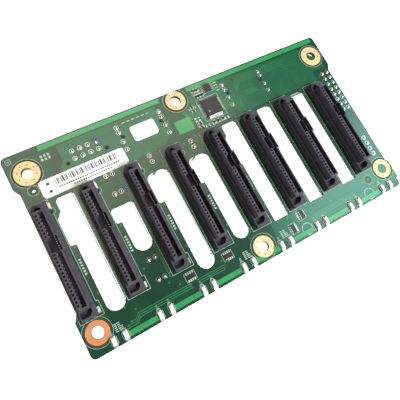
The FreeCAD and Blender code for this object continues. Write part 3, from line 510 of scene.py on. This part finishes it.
vias = bmesh.new()
via_spots = []
for lane in range(8):
    via_spots.append((chip_low.x - (5.2 + lane * 0.3) * mm, chip_low.y + (2.9 + lane * 0.5) * mm))
    via_spots.append((chip_high.x + (1.6 + lane % 2) * mm,
                      chip_high.y + (0.6 + lane * 0.8) * mm))
for bay in bays[1:]:
    for lane in range(2):
        via_spots.append((bay.x - (4.85 + lane * 0.5) * mm, bay_y - (19.9 + lane) * mm))
    via_spots.append((bay.x + 5.4 * mm, bay_y + 20.2 * mm))
    via_spots.append((bay.x - 6.6 * mm, bay_y - 22.9 * mm))
for bay in bays[:-1]:
    via_spots.append((bay.x + 4.8 * mm, bay_y - 14.6 * mm))
    via_spots.append((bay.x + 4.6 * mm, bay_y + 2.6 * mm))
    via_spots.append((bay.x + 13.4 * mm, lane_y + 1.6 * mm))
for lane in range(3):
    via_spots.append((bays[1].x + 16.6 * mm, lane_y - lane * 0.75 * mm))
    via_spots.append((step_x - (1.7 + lane * 1.5) * mm, lane_y - (1.4 + lane * 0.75) * mm))
via_hole, via_edge, via_rise, via_steps = 0.13 * mm, 0.32 * mm, 0.045 * mm, 12
for x, y in via_spots:
    ring(vias, x, y, via_hole, via_edge, front, via_rise, via_steps)
piece_from(vias, "masked_vias", pour_green)


# ---------------------------------------------------------------------------
# Printed lines
# Pale silk-screen ink on the mask: outlines of the parts, circles round the holes and marks at
# the lights. Where a real board has words, there are plain bars.
# ---------------------------------------------------------------------------

silk_ink = new_material("silk_ink", 0.6)
two_tone(silk_ink, (0.28, 0.42, 0.33), (0.42, 0.56, 0.46), 1.5 * mm)
ink = 0.02 * mm
ink_z = front + 0.005 * mm
fine, line = 0.13 * mm, 0.15 * mm
work = bmesh.new()


def frame_line(x0, y0, x1, y1):
    """A printed rectangle."""
    ribbon(work, [(x0, y0), (x1, y0), (x1, y1), (x0, y1), (x0, y0)], fine, ink_z, ink)


def hole_circles(work, z, rise):
    """A printed circle round each screw hole."""
    for name, spot in holes.items():
        reach = (5.25 if name in wide_holes else 4.93) * mm
        ring(work, spot.x, spot.y, reach, reach + 0.12 * mm, z, rise, round_steps)


for bay in bays:
    ribbon(work, [(bay.x + x * mm, bay.y + y * mm) for x, y in (
        (-4.35, -21.5), (3.95, -21.5), (3.95, -16.6), (3.15, -16.6), (3.15, 21.8), (-4.35, 21.8),
        (-4.35, -21.5))], line, ink_z, ink)
    ring(work, bay.x + 2.9 * mm, bay.y + 17.25 * mm, 1.1 * mm, 1.22 * mm, ink_z, ink, 24)
for bay in bays[:-1]:
    for number in range(6):
        bar = bay.y - (1.6 + number * 1.05) * mm
        slab(work, bay.x + 3.75 * mm, bar - 0.6 * mm, bay.x + 4.55 * mm, bar, ink_z, ink)
hole_circles(work, ink_z, ink)
for spot in tooling_spots:
    ring(work, spot.x, spot.y, 1.85 * mm, 1.97 * mm, ink_z, ink, 32)
corner_x, corner_y = left + 2.3 * mm, high - 2.1 * mm
side = 0.85 * mm
frame_line(corner_x - side, corner_y - side, corner_x + side, corner_y + side)
ring(work, corner_x, corner_y, 0.22 * mm, 0.36 * mm, ink_z, ink, 20)
for spot in (bays[5].x - 1.3 * mm, bays[7].x - 3.3 * mm):
    ring(work, spot, low + 3.0 * mm, 2.1 * mm, 2.35 * mm, ink_z, ink, 40)

# plain bars in place of the words beside the power header and the cable sockets
pins_low, pins_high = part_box("power_header_pins")
for row_y in (4.2, 5.5):
    for number in range(3):
        bar = pins_low.x - (7.4 + number * 1.3) * mm
        pad(work, bar, high - (row_y + 0.5) * mm, 0.35 * mm, 0.5 * mm, ink_z, ink)
for number in range(6):
    bar = bays[2].x + (4.6 + number * 2.0) * mm
    slab(work, bar, high - 4.6 * mm, bar + 1.2 * mm, high - 4.2 * mm, ink_z, ink)

# marks at the lights: a short line on each side and three small bars above, then the
# columns of bars under some receptacles
lights_low, lights_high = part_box("status_light_bases")
lights_y = (lights_low.y + lights_high.y) / 2
light_spots = [(bay.x + run * mm, lights_y) for bay in bays for run in (2.9, 7.1)]
for x, y in light_spots:
    for sign in (-1, 1):
        pad(work, x + sign * 1.15 * mm, y, 0.07 * mm, 1.3 * mm, ink_z, ink)
    for number in range(3):
        pad(work, x, y + (2.31 + number * 0.5) * mm, 0.35 * mm, 0.11 * mm, ink_z, ink)
for bay in (bays[0], bays[3], bays[4]):
    for number in range(5):
        for column in (4.7, 5.9):
            level = datum.y - (0.2 + number * 0.62) * mm
            slab(work, bay.x + column * mm, level - 0.3 * mm, bay.x + (column + 0.85) * mm, level,
                 ink_z, ink)

# outlines of the resistor arrays and of the chips
array_spots = [(bays[2].x + 1.0 * mm, bay_y - 24.5 * mm, False),
               (bays[3].x - 0.5 * mm, bay_y - 24.5 * mm, False),
               (bays[4].x + 10.4 * mm, bay_y - 27.6 * mm, True),
               (bays[5].x - 1.0 * mm, bay_y - 24.3 * mm, True)]
for x, y, turned in array_spots:
    half_x, half_y = (1.55, 2.0) if turned else (2.0, 1.55)
    frame_line(x - half_x * mm, y - half_y * mm, x + half_x * mm, y + half_y * mm)
frame_line(chip_low.x - 0.35 * mm, chip_low.y - 0.35 * mm, chip_high.x + 0.35 * mm,
           chip_high.y + 0.35 * mm)
small_low, small_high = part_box("small_chip_leads")
frame_line(small_low.x - 0.3 * mm, small_low.y - 0.6 * mm, small_high.x + 0.3 * mm,
           small_high.y + 0.6 * mm)
for number in range(4):
    level = chip_high.y + (1.0 + number * 1.15) * mm
    slab(work, chip_high.x + 1.0 * mm, level, chip_high.x + 2.5 * mm, level + 0.4 * mm, ink_z, ink)
    bar = chip_low.x - (1.4 + number * 0.9) * mm
    slab(work, bar - 0.45 * mm, chip_high.y - 2.4 * mm, bar, chip_high.y - 1.5 * mm, ink_z, ink)
trim_to_board(work)
piece_from(work, "printed_outlines", silk_ink)


# ---------------------------------------------------------------------------
# Solder joints
# Shiny cones of solder on the front, where the pins of the parts behind come through, each on
# its round land. The square land marks the power header's first pin. Between them, black
# plastic pegs hold the headers, sockets and receptacles in place.
# ---------------------------------------------------------------------------

solder = new_material("solder", 0.24, metallic=1.0)
two_tone(solder, (0.66, 0.67, 0.66), (0.84, 0.85, 0.84), 0.5 * mm)


def joint(work, x, y):
    """One soldered pin: a concave cone of solder round a blunt tip, spun from its profile."""
    radius, rise = 0.8 * mm, 0.55 * mm
    profile = [(0, 0), (radius, 0), (radius * 0.82, rise * 0.20), (radius * 0.52, rise * 0.62),
               (radius * 0.36, rise), (0, rise * 1.05)]
    corners = [work.verts.new((x + across, y, front + level)) for across, level in profile]
    sides = [work.edges.new(pair) for pair in zip(corners, corners[1:])]
    bmesh.ops.spin(work, geom=corners + sides, cent=(x, y, front), axis=(0, 0, 1),
                   angle=2 * math.pi, steps=14, use_merge=True)


half_pin, power_pitch = 0.32, 3.0
joint_spots = [(pins_low.x + (half_pin + power_pitch * column) * mm,
                pins_low.y + (half_pin + power_pitch * row) * mm)
               for column in range(4) for row in range(2)]
for number in (1, 2):
    shell_low, shell_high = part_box("cable_socket_shell_%d" % number)
    for rise in (11.1, 9.0, 5.2, 1.9):
        joint_spots.append((shell_low.x + 0.5 * mm, shell_low.y + rise * mm))
        joint_spots.append((shell_high.x - 0.6 * mm, shell_low.y + (rise - 0.3) * mm))
signal_low, signal_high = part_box("signal_header_pins")
for row in range(8):
    for column in (signal_low.x + half_pin * mm, signal_high.x - half_pin * mm):
        joint_spots.append((column, signal_low.y + (half_pin + pin_pitch * row) * mm))
four_low, four_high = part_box("light_header_pins")
for row in range(4):
    joint_spots.append(((four_low.x + four_high.x) / 2,
                        four_low.y + (half_pin + pin_pitch * row) * mm))

# each can stands on two joints 2.5 mm apart, some of them in line with the board's long side
can_spots = [(bays[1].x + 8.8 * mm, bay_y + rise * mm, True)
             for rise in (20.9, 13.6, -12.7, -20.2)]
can_spots += [(bays[2].x + 8.2 * mm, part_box("cable_socket_shell_1")[0].y - 5.0 * mm, False),
              (bays[3].x + 8.3 * mm, bay_y + 18.9 * mm, False)]
for x, y, along_x in can_spots:
    for sign in (-1, 1):
        reach = sign * 1.25 * mm
        joint_spots.append((x + reach, y) if along_x else (x, y + reach))
domes = bmesh.new()
for x, y in joint_spots:
    joint(domes, x, y)
pad(domes, pins_high.x - half_pin * mm, pins_high.y - half_pin * mm, 1.0 * mm, 1.0 * mm,
    front, 0.04 * mm)
piece = piece_from(domes, "solder_joints", solder)
for face in piece.data.polygons:
    face.use_smooth = True

lands = bmesh.new()
for x, y in joint_spots:
    ring(lands, x, y, 0.72 * mm, 0.88 * mm, front, 0.03 * mm, 20)
piece_from(lands, "solder_lands", solder)

peg_black = new_material("peg_plastic", 0.5)
two_tone(peg_black, (0.006, 0.006, 0.007), (0.012, 0.011, 0.012), 0.4 * mm)
pegs = bmesh.new()
header_low, header_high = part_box("power_header")
pegs_y = header_low.y + 1.95 * mm
peg_spots = [(header_low.x + 0.4 * mm, pegs_y), (header_high.x - 0.5 * mm, pegs_y)]
for number in (1, 2):
    shell_low, shell_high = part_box("cable_socket_shell_%d" % number)
    peg_spots.append((shell_low.x + 1.3 * mm, shell_low.y + 7.0 * mm))
    peg_spots.append((shell_high.x - 1.4 * mm, shell_low.y + 7.0 * mm))
for x, y in peg_spots:
    made = bmesh.ops.create_cone(pegs, cap_ends=True, segments=20, radius1=0.72 * mm,
                                 radius2=0.55 * mm, depth=0.35 * mm)
    bmesh.ops.translate(pegs, verts=made["verts"], vec=(x, y, front + 0.175 * mm))
for bay in bays:
    pad(pegs, bay.x + 2.9 * mm, bay_y + 17.25 * mm, 0.5 * mm, 0.5 * mm,
        rear + 0.2 * mm, front - rear - 0.15 * mm)
piece_from(pegs, "locating_pegs", peg_black)


# ---------------------------------------------------------------------------
# Drive receptacles
# Glass-filled black plastic, moulded in one piece, with a fine spark-eroded grain and slightly
# rounded edges. Pressed and soldered to the board.
# ---------------------------------------------------------------------------

receptacle_plastic = new_material("receptacle_plastic", 0.48)
shader_of(receptacle_plastic).inputs["Specular IOR Level"].default_value = 0.12
two_tone(receptacle_plastic, (0.058, 0.053, 0.066), (0.084, 0.077, 0.094), 1.5 * mm)
grain(receptacle_plastic, 0.06 * mm, 0.004 * mm, 0.35)
for number in range(1, 9):
    housing = dress("drive_receptacle_%d" % number, receptacle_plastic)
    weld = housing.modifiers.new("weld", "WELD")
    weld.merge_threshold = 0.001 * mm
    soften = housing.modifiers.new("moulded_edges", "BEVEL")
    soften.width = 0.05 * mm
    soften.segments = 2
    soften.limit_method = "ANGLE"
    soften.angle_limit = math.radians(40)


# ---------------------------------------------------------------------------
# Receptacle contacts
# Straight springs stamped from plated copper alloy, one in each window of the housing. They
# stand on the window's floor and lean into the slot, where the drive's pads press on them.
# ---------------------------------------------------------------------------

contact_metal = new_material("contact_metal", 0.36, metallic=0.9)
two_tone(contact_metal, (0.34, 0.33, 0.36), (0.50, 0.48, 0.51), 0.8 * mm)
for number in range(1, 9):
    dress("drive_contacts_%d" % number, contact_metal)


# ---------------------------------------------------------------------------
# Hold-down tabs, leads and terminals
# Sheet copper alloy with a bright tin plate, soldered to the board's lands. The empty lands
# round the chips are plated the same way.
# ---------------------------------------------------------------------------

tin_plate = new_material("tin_plate", 0.30, metallic=0.35)
two_tone(tin_plate, (0.54, 0.55, 0.54), (0.70, 0.71, 0.70), 0.8 * mm)
uneven(tin_plate, 0.24, 0.42, 0.6 * mm)
for node in ("hold_down_tabs", "controller_leads", "small_chip_leads", "resistor_array_ends",
             "chip_resistor_ends", "power_header_pins", "signal_header_pins", "light_header_pins"):
    dress(node, tin_plate)

lands = bmesh.new()
land = 0.03 * mm
half_land, half_length, set_in = 0.14 * mm, 0.375 * mm, 0.125 * mm
for number in range(12):
    along = (first_lead + number * lead_pitch) * mm
    for lands_y in (chip_low.y + set_in, chip_high.y - set_in):
        pad(lands, chip_low.x + along, lands_y, half_land, half_length, front, land)
    for lands_x in (chip_low.x + set_in, chip_high.x - set_in):
        pad(lands, lands_x, chip_low.y + along, half_length, half_land, front, land)
for x, y in light_spots:
    for sign in (-1, 1):
        pad(lands, x, y + sign * 1.65 * mm, 0.75 * mm, 0.45 * mm, front, land)
for x, y, turned in array_spots:
    for number in range(4):
        shift = (number - 1.5) * 0.8 * mm
        for sign in (-1, 1):
            reach = sign * 1.35 * mm
            mid_x, mid_y = (x + reach, y + shift) if turned else (x + shift, y + reach)
            half_x, half_y = (0.35 * mm, 0.25 * mm) if turned else (0.25 * mm, 0.35 * mm)
            pad(lands, mid_x, mid_y, half_x, half_y, front, land)
for number in range(8):
    across = chip_low.x - 1.6 * mm + number * 1.45 * mm
    slab(lands, across, bay_y + 22.4 * mm, across + 0.5 * mm, bay_y + 23.6 * mm, front, land)
for row_y in (0.6, 2.0, 3.4):
    for number in range(3):
        across = small_low.x - (2.0 + number * 1.3) * mm
        slab(lands, across, small_low.y + (row_y - 0.6) * mm, across + 0.8 * mm,
             small_low.y + row_y * mm, front, land)
for number in range(4):
    level = chip_low.y - (1.4 - number * 1.2) * mm
    for column in (4.4, 2.9):
        slab(lands, chip_low.x - column * mm, level, chip_low.x - (column - 0.8) * mm,
             level + 0.6 * mm, front, land)
piece_from(lands, "surface_lands", tin_plate)


# ---------------------------------------------------------------------------
# Chips
# Epoxy mouldings over the silicon, dull and dark, with a light-pink dimple at pin one. Their
# gull-wing leads are soldered to lands on the front face.
# ---------------------------------------------------------------------------

chip_moulding = new_material("chip_moulding", 0.46)
two_tone(chip_moulding, (0.030, 0.023, 0.023), (0.046, 0.037, 0.036), 1.2 * mm)
grain(chip_moulding, 0.08 * mm, 0.004 * mm)
dress("controller_chip", chip_moulding)
dress("small_chip", chip_moulding)
dimple_pink = new_material("dimple_pink", 0.5)
two_tone(dimple_pink, (0.55, 0.26, 0.22), (0.68, 0.36, 0.30), 0.3 * mm)
work = bmesh.new()
body_low, body_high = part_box("controller_chip")
disc(work, body_low.x + 1.4 * mm, body_low.y + 1.6 * mm, body_high.z, 0.34 * mm, 20)
piece_from(work, "pin_one_dimple", dimple_pink)


# ---------------------------------------------------------------------------
# Resistors
# Thick-film chips: a ceramic body under a glossy black glaze, with tinned ends. They are
# placed by machine and soldered flat to the front face.
# ---------------------------------------------------------------------------

resistor_glaze = new_material("resistor_glaze", 0.3)
two_tone(resistor_glaze, (0.018, 0.014, 0.016), (0.036, 0.028, 0.029), 0.6 * mm)
dress("resistor_arrays", resistor_glaze)
dress("chip_resistors", resistor_glaze)


# ---------------------------------------------------------------------------
# Status lights
# Light-emitting diodes: a pale base with a clear cream lens moulded on it, two under each bay.
# A small fillet of solder holds each end.
# ---------------------------------------------------------------------------

light_body = new_material("light_body", 0.4)
two_tone(light_body, (0.70, 0.72, 0.64), (0.82, 0.84, 0.78), 0.8 * mm)
dress("status_light_bases", light_body)
light_lens = new_material("light_lens", 0.22)
two_tone(light_lens, (0.76, 0.78, 0.70), (0.88, 0.88, 0.82), 0.8 * mm)
dress("status_light_lenses", light_lens)
fillets = bmesh.new()
for x, y in light_spots:
    for sign in (-1, 1):
        made = bmesh.ops.create_cube(fillets, size=1.0)
        bmesh.ops.scale(fillets, verts=made["verts"], vec=(1.3 * mm, 0.5 * mm, 0.32 * mm))
        outside = [vert for vert in made["verts"] if vert.co.z > 0 and vert.co.y * sign > 0]
        bmesh.ops.translate(fillets, verts=outside, vec=(0, 0, -0.26 * mm))
        bmesh.ops.translate(fillets, verts=made["verts"],
                            vec=(x, y + sign * 1.72 * mm, front + 0.16 * mm))
piece_from(fillets, "light_fillets", solder)


# ---------------------------------------------------------------------------
# Labels
# White paper labels with rounded corners, stuck on the mask and printed in dark grey. Their
# codes and words are left as plain bars.
# ---------------------------------------------------------------------------

label_film = new_material("label_film", 0.5)
two_tone(label_film, (0.86, 0.86, 0.86), (0.92, 0.92, 0.92), 4 * mm)
dress("long_label", label_film)
dress("small_label", label_film)
print_grey = new_material("print_grey", 0.6)
two_tone(print_grey, (0.030, 0.030, 0.032), (0.070, 0.070, 0.074), 0.6 * mm)
label_low, label_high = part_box("long_label")
work = bmesh.new()
print_z, print_rise = label_high.z - 0.005 * mm, 0.012 * mm
run = label_low.x + 5.6 * mm
number = 0
bar_widths, bar_gaps = (0.22, 0.42, 0.22, 0.30, 0.60), (0.36, 0.24, 0.52, 0.30)
while run < label_low.x + 28.4 * mm:
    wide = bar_widths[number % 5] * mm
    slab(work, run, label_low.y + 3.4 * mm, run + wide, label_high.y - 0.9 * mm,
         print_z, print_rise)
    run += wide + bar_gaps[number % 4] * mm
    number += 1
for start, stop, level in ((6.0, 28.4, 2.0), (11.0, 25.4, 0.85)):
    run = label_low.x + start * mm
    while run < label_low.x + stop * mm:
        slab(work, run, label_low.y + level * mm, run + 0.55 * mm,
             label_low.y + (level + 0.5) * mm, print_z, print_rise)
        run += 0.85 * mm
for level in (1.4, 4.3):
    slab(work, label_low.x + 2.4 * mm, label_low.y + level * mm, label_low.x + 3.5 * mm,
         label_low.y + (level + 0.9) * mm, print_z, print_rise)
piece_from(work, "label_bars", print_grey)


# ---------------------------------------------------------------------------
# Cable sockets
# Nickel-plated steel shells, folded and soldered by their tails, with pressed springs that grip
# the plug. Each holds a black moulded insert with two rows of gilt contacts in its slot.
# ---------------------------------------------------------------------------

nickel = new_material("nickel_sheet", 0.3, metallic=0.9)
two_tone(nickel, (0.56, 0.54, 0.51), (0.68, 0.66, 0.63), 5 * mm)
uneven(nickel, 0.24, 0.36, 3 * mm)
insert_black = new_material("insert_plastic", 0.5)
two_tone(insert_black, (0.010, 0.010, 0.012), (0.018, 0.018, 0.020), 1.5 * mm)
gilt = new_material("gilt_contact", 0.3, metallic=0.9)
two_tone(gilt, (0.66, 0.46, 0.16), (0.76, 0.56, 0.24), 0.8 * mm)
springs, socket_contacts = bmesh.new(), bmesh.new()
for number in (1, 2):
    dress("cable_socket_shell_%d" % number, nickel)
    dress("cable_socket_insert_%d" % number, insert_black)
    shell_low, shell_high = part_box("cable_socket_shell_%d" % number)
    insert_low, insert_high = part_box("cable_socket_insert_%d" % number)
    shell_x = (shell_low.x + shell_high.x) / 2
    leaf_y, leaf_z = shell_high.y - 5.2 * mm, shell_low.z - 0.02 * mm
    for shift in (-5.4, 0, 5.4):
        leaf = bmesh.ops.create_grid(springs, x_segments=1, y_segments=4, size=0.5)
        bmesh.ops.scale(springs, verts=leaf["verts"], vec=(1.8 * mm, 6.4 * mm, 1))
        for vert in leaf["verts"]:
            vert.co.z = -0.35 * mm * (1 - (vert.co.y / (3.2 * mm)) ** 2)
        leaf_faces = list({face for vert in leaf["verts"] for face in vert.link_faces})
        bmesh.ops.translate(springs, verts=leaf["verts"],
                            vec=(shell_x + shift * mm, leaf_y, leaf_z))
        raise_faces(springs, leaf_faces, 0.12 * mm)
    slot_z = (insert_low.z + insert_high.z) / 2
    for lane in range(18):
        across = shell_x + (lane - 8.5) * 0.76 * mm
        for sign in (-1, 1):
            pad(socket_contacts, across, insert_high.y - 3.0 * mm, 0.17 * mm, 2.4 * mm,
                slot_z + sign * 0.65 * mm, -sign * 0.12 * mm)
piece_from(springs, "shell_springs", nickel)
piece_from(socket_contacts, "socket_contacts", gilt)


# ---------------------------------------------------------------------------
# Pin headers
# Black moulded blocks on the rear face: the latched power header and the open signal headers.
# Their square pins are soldered on the front.
# ---------------------------------------------------------------------------

header_black = new_material("header_plastic", 0.45)
two_tone(header_black, (0.012, 0.012, 0.013), (0.020, 0.020, 0.022), 1.5 * mm)
grain(header_black, 0.06 * mm, 0.004 * mm, 0.35)
for node in ("power_header", "signal_header_block", "light_header_block"):
    dress(node, header_black)


# ---------------------------------------------------------------------------
# Capacitors
# Radial aluminium cans that stand on the rear face, on rubber bungs, with a printed stripe down
# the negative side.
# ---------------------------------------------------------------------------

can_metal = new_material("can_metal", 0.32, metallic=0.9)
two_tone(can_metal, (0.66, 0.66, 0.67), (0.78, 0.78, 0.79), 4 * mm)
dress("capacitors", can_metal)
rubber = new_material("rubber_bung", 0.75)
two_tone(rubber, (0.010, 0.010, 0.010), (0.020, 0.020, 0.020), 1 * mm)
stripe_ink = new_material("stripe_ink", 0.5)
two_tone(stripe_ink, (0.020, 0.024, 0.040), (0.032, 0.038, 0.060), 1 * mm)
can_radius = 3.17 * mm
cans_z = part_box("capacitors")[0].z
bungs, stripes = bmesh.new(), bmesh.new()
for x, y, along_x in can_spots:
    ring(bungs, x, y, 2.6 * mm, can_radius, rear - 0.7 * mm, 0.68 * mm, 40)
    turn = math.radians(180 if along_x else -90)
    aside = Vector((math.cos(turn), math.sin(turn), 0)) * can_radius
    ends = [stripes.verts.new(Vector((x, y, cans_z + level * mm)) + aside)
            for level in (0.6, 9.9)]
    side = stripes.edges.new(ends)
    bmesh.ops.spin(stripes, geom=ends + [side], cent=(x, y, 0), axis=(0, 0, 1),
                   angle=math.radians(50), steps=8)
bmesh.ops.recalc_face_normals(stripes, faces=stripes.faces)
bmesh.ops.solidify(stripes, geom=list(stripes.faces), thickness=0.03 * mm)
piece_from(bungs, "rubber_bungs", rubber)
piece_from(stripes, "polarity_stripes", stripe_ink)


# ---------------------------------------------------------------------------
# Rear face of the board
# Copper under the mask, masked vias and printed outlines: signal pairs run from the cable
# sockets down to the receptacles between the vents.
# ---------------------------------------------------------------------------

rear_copper, rear_vias, rear_ink = bmesh.new(), bmesh.new(), bmesh.new()
top_strips(rear_copper, rear, -copper_rise)
slab(rear_copper, bays[0].x + 8.3 * mm, low + 1.0 * mm, bays[3].x + 3.0 * mm, low + 2.8 * mm,
     rear, -copper_rise)
piece_from(rear_copper, "rear_strips", pour_green)

rear_traces = bmesh.new()
contact_pitch = 1.27
for number, bay in enumerate(bays):
    socket, place = divmod(number, 4)
    shell_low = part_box("cable_socket_shell_%d" % (socket + 1))[0]
    for lane in range(4):
        start = shell_low.x + (2.6 + place * 3.6 + lane * 0.6) * mm
        level = shell_low.y - (0.9 + place * 1.1 + lane * 0.24) * mm
        column = bay.x - (2.6 - lane * 0.5) * mm
        step = 0.5 * mm if column > start else -0.5 * mm
        ribbon(rear_traces, [(start, shell_low.y + 0.2 * mm), (start, level + 0.5 * mm),
                             (start + step, level), (column - step, level),
                             (column, level - 0.5 * mm),
                             (column, bay_y + (12.0 - lane * contact_pitch) * mm)],
               0.18 * mm, rear, -copper_rise)
    for across, first, count in ((-3.0, -15.72, 15), (-0.6, 8.41, 7)):
        for step in range(count):
            ring(rear_vias, bay.x + across * mm, bay_y + (first + contact_pitch * step) * mm,
                 0.15 * mm, 0.36 * mm, rear, -via_rise, 10)
    frame_x, frame_y = bay.x - 4.1 * mm, bay_y - 21.2 * mm
    ribbon(rear_ink, [(frame_x, frame_y), (frame_x + 1.2 * mm, frame_y)], fine, rear, -ink)
    ribbon(rear_ink, [(frame_x, frame_y), (frame_x, frame_y + 1.2 * mm)], fine, rear, -ink)
for x, y in via_spots:
    ring(rear_vias, x, y, via_hole, via_edge, rear, -via_rise, via_steps)
piece_from(rear_traces, "rear_traces", trace_green)
piece_from(rear_vias, "rear_vias", pour_green)

for node in ("cable_socket_shell_1", "cable_socket_shell_2", "power_header", "signal_header_block",
             "light_header_block"):
    part_low, part_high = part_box(node)
    out = 0.45 * mm
    top, bottom = min(part_high.y + out, high - 0.3 * mm), part_low.y - out
    start, stop = part_low.x - out, part_high.x + out
    ribbon(rear_ink, [(start, top), (start, bottom), (stop, bottom), (stop, top), (start, top)],
           line, rear, -ink)
for x, y, along_x in can_spots:
    ring(rear_ink, x, y, 3.45 * mm, 3.6 * mm, rear, -ink, 48)
    bar_x, bar_y = (x - 4.3 * mm, y) if along_x else (x, y - 4.3 * mm)
    pad(rear_ink, bar_x, bar_y, 0.45 * mm, 0.09 * mm, rear, -ink)
hole_circles(rear_ink, rear, -ink)
trim_to_board(rear_ink)
piece_from(rear_ink, "rear_outlines", silk_ink)


# ---------------------------------------------------------------------------
# Stage: floor, light and camera
# A white floor that glows evenly, so it takes no shadow, a dim sky that is pale only near the
# horizon, and soft lights placed where the board's gloss mirrors them.
# ---------------------------------------------------------------------------

floor_mesh = bpy.data.meshes.new("floor")
work = bmesh.new()
bmesh.ops.create_grid(work, x_segments=1, y_segments=1, size=3.0)
bmesh.ops.translate(work, verts=work.verts, vec=(0, 0, cad_box[0][2] - 0.01 * mm))
work.to_mesh(floor_mesh)
work.free()
floor = add_object("floor", floor_mesh)
paper = new_material("white_paper", 0.9)
two_tone(paper, (0.90, 0.90, 0.90), (0.92, 0.92, 0.92), 200 * mm)
shader_of(paper).inputs["Emission Color"].default_value = (1, 1, 1, 1)
shader_of(paper).inputs["Emission Strength"].default_value = 1.0
floor.data.materials.append(paper)
floor.visible_diffuse = False

world = bpy.data.worlds.new("studio")
world.use_nodes = True
sky = world.node_tree
place = sky.nodes.new("ShaderNodeTexCoord")
axes = sky.nodes.new("ShaderNodeSeparateXYZ")
bands = sky.nodes.new("ShaderNodeValToRGB")
ground_band, zenith = bands.color_ramp.elements
ground_band.position, zenith.position = 0.02, 0.75
ground_band.color = (0.02, 0.02, 0.02, 1)
zenith.color = (0.05, 0.05, 0.055, 1)
bands.color_ramp.elements.new(0.08).color = (0.45, 0.45, 0.45, 1)
sky.links.new(place.outputs["Generated"], axes.inputs["Vector"])
sky.links.new(axes.outputs["Z"], bands.inputs["Fac"])
sky.links.new(bands.outputs["Color"], sky.nodes["Background"].inputs["Color"])
bpy.context.scene.world = world


def soft_box(name, spot, aim, width, depth, watts, colour):
    """A rectangular area light turned towards a point."""
    lamp = bpy.data.lights.new(name, "AREA")
    lamp.shape = "RECTANGLE"
    lamp.size = width
    lamp.size_y = depth
    lamp.energy = watts
    lamp.color = colour
    holder = add_object(name, lamp)
    holder.location = spot
    holder.rotation_euler = (Vector(aim) - Vector(spot)).to_track_quat("-Z", "Y").to_euler()


middle = (sum(side[0] for side in cad_box) / 2, sum(side[1] for side in cad_box) / 2, 0)
soft_box("rear_light", (0.10, 0.30, 0.60), (0.10, 0.26, 0), 0.60, 0.36, 1.35, (1.0, 0.87, 0.68))
soft_box("left_light", (-0.18, 0.08, 0.60), (-0.10, 0.08, 0), 0.20, 0.26, 0.12, (1.0, 0.88, 0.68))
soft_box("side_light", (0.60, -0.02, 0.60), (0.36, 0.00, 0), 0.36, 0.40, 1.7, (0.68, 1.0, 0.95))
soft_box("fill_light", (0.34, -0.52, 0.62), middle, 0.50, 0.50, 12.0, (1.0, 1.0, 1.0))

camera_lens = bpy.data.cameras.new("camera")
camera_lens.lens = 34.03
camera_lens.sensor_width = 36
camera_lens.clip_start = 0.005
camera = add_object("camera", camera_lens)
camera.location = (13.81 * mm, 5.11 * mm, 133.01 * mm)
camera.rotation_euler = (math.radians(14.413), math.radians(-10.224), math.radians(-28.735))
bpy.context.scene.camera = camera
bpy.context.scene.view_settings.view_transform = "Standard"
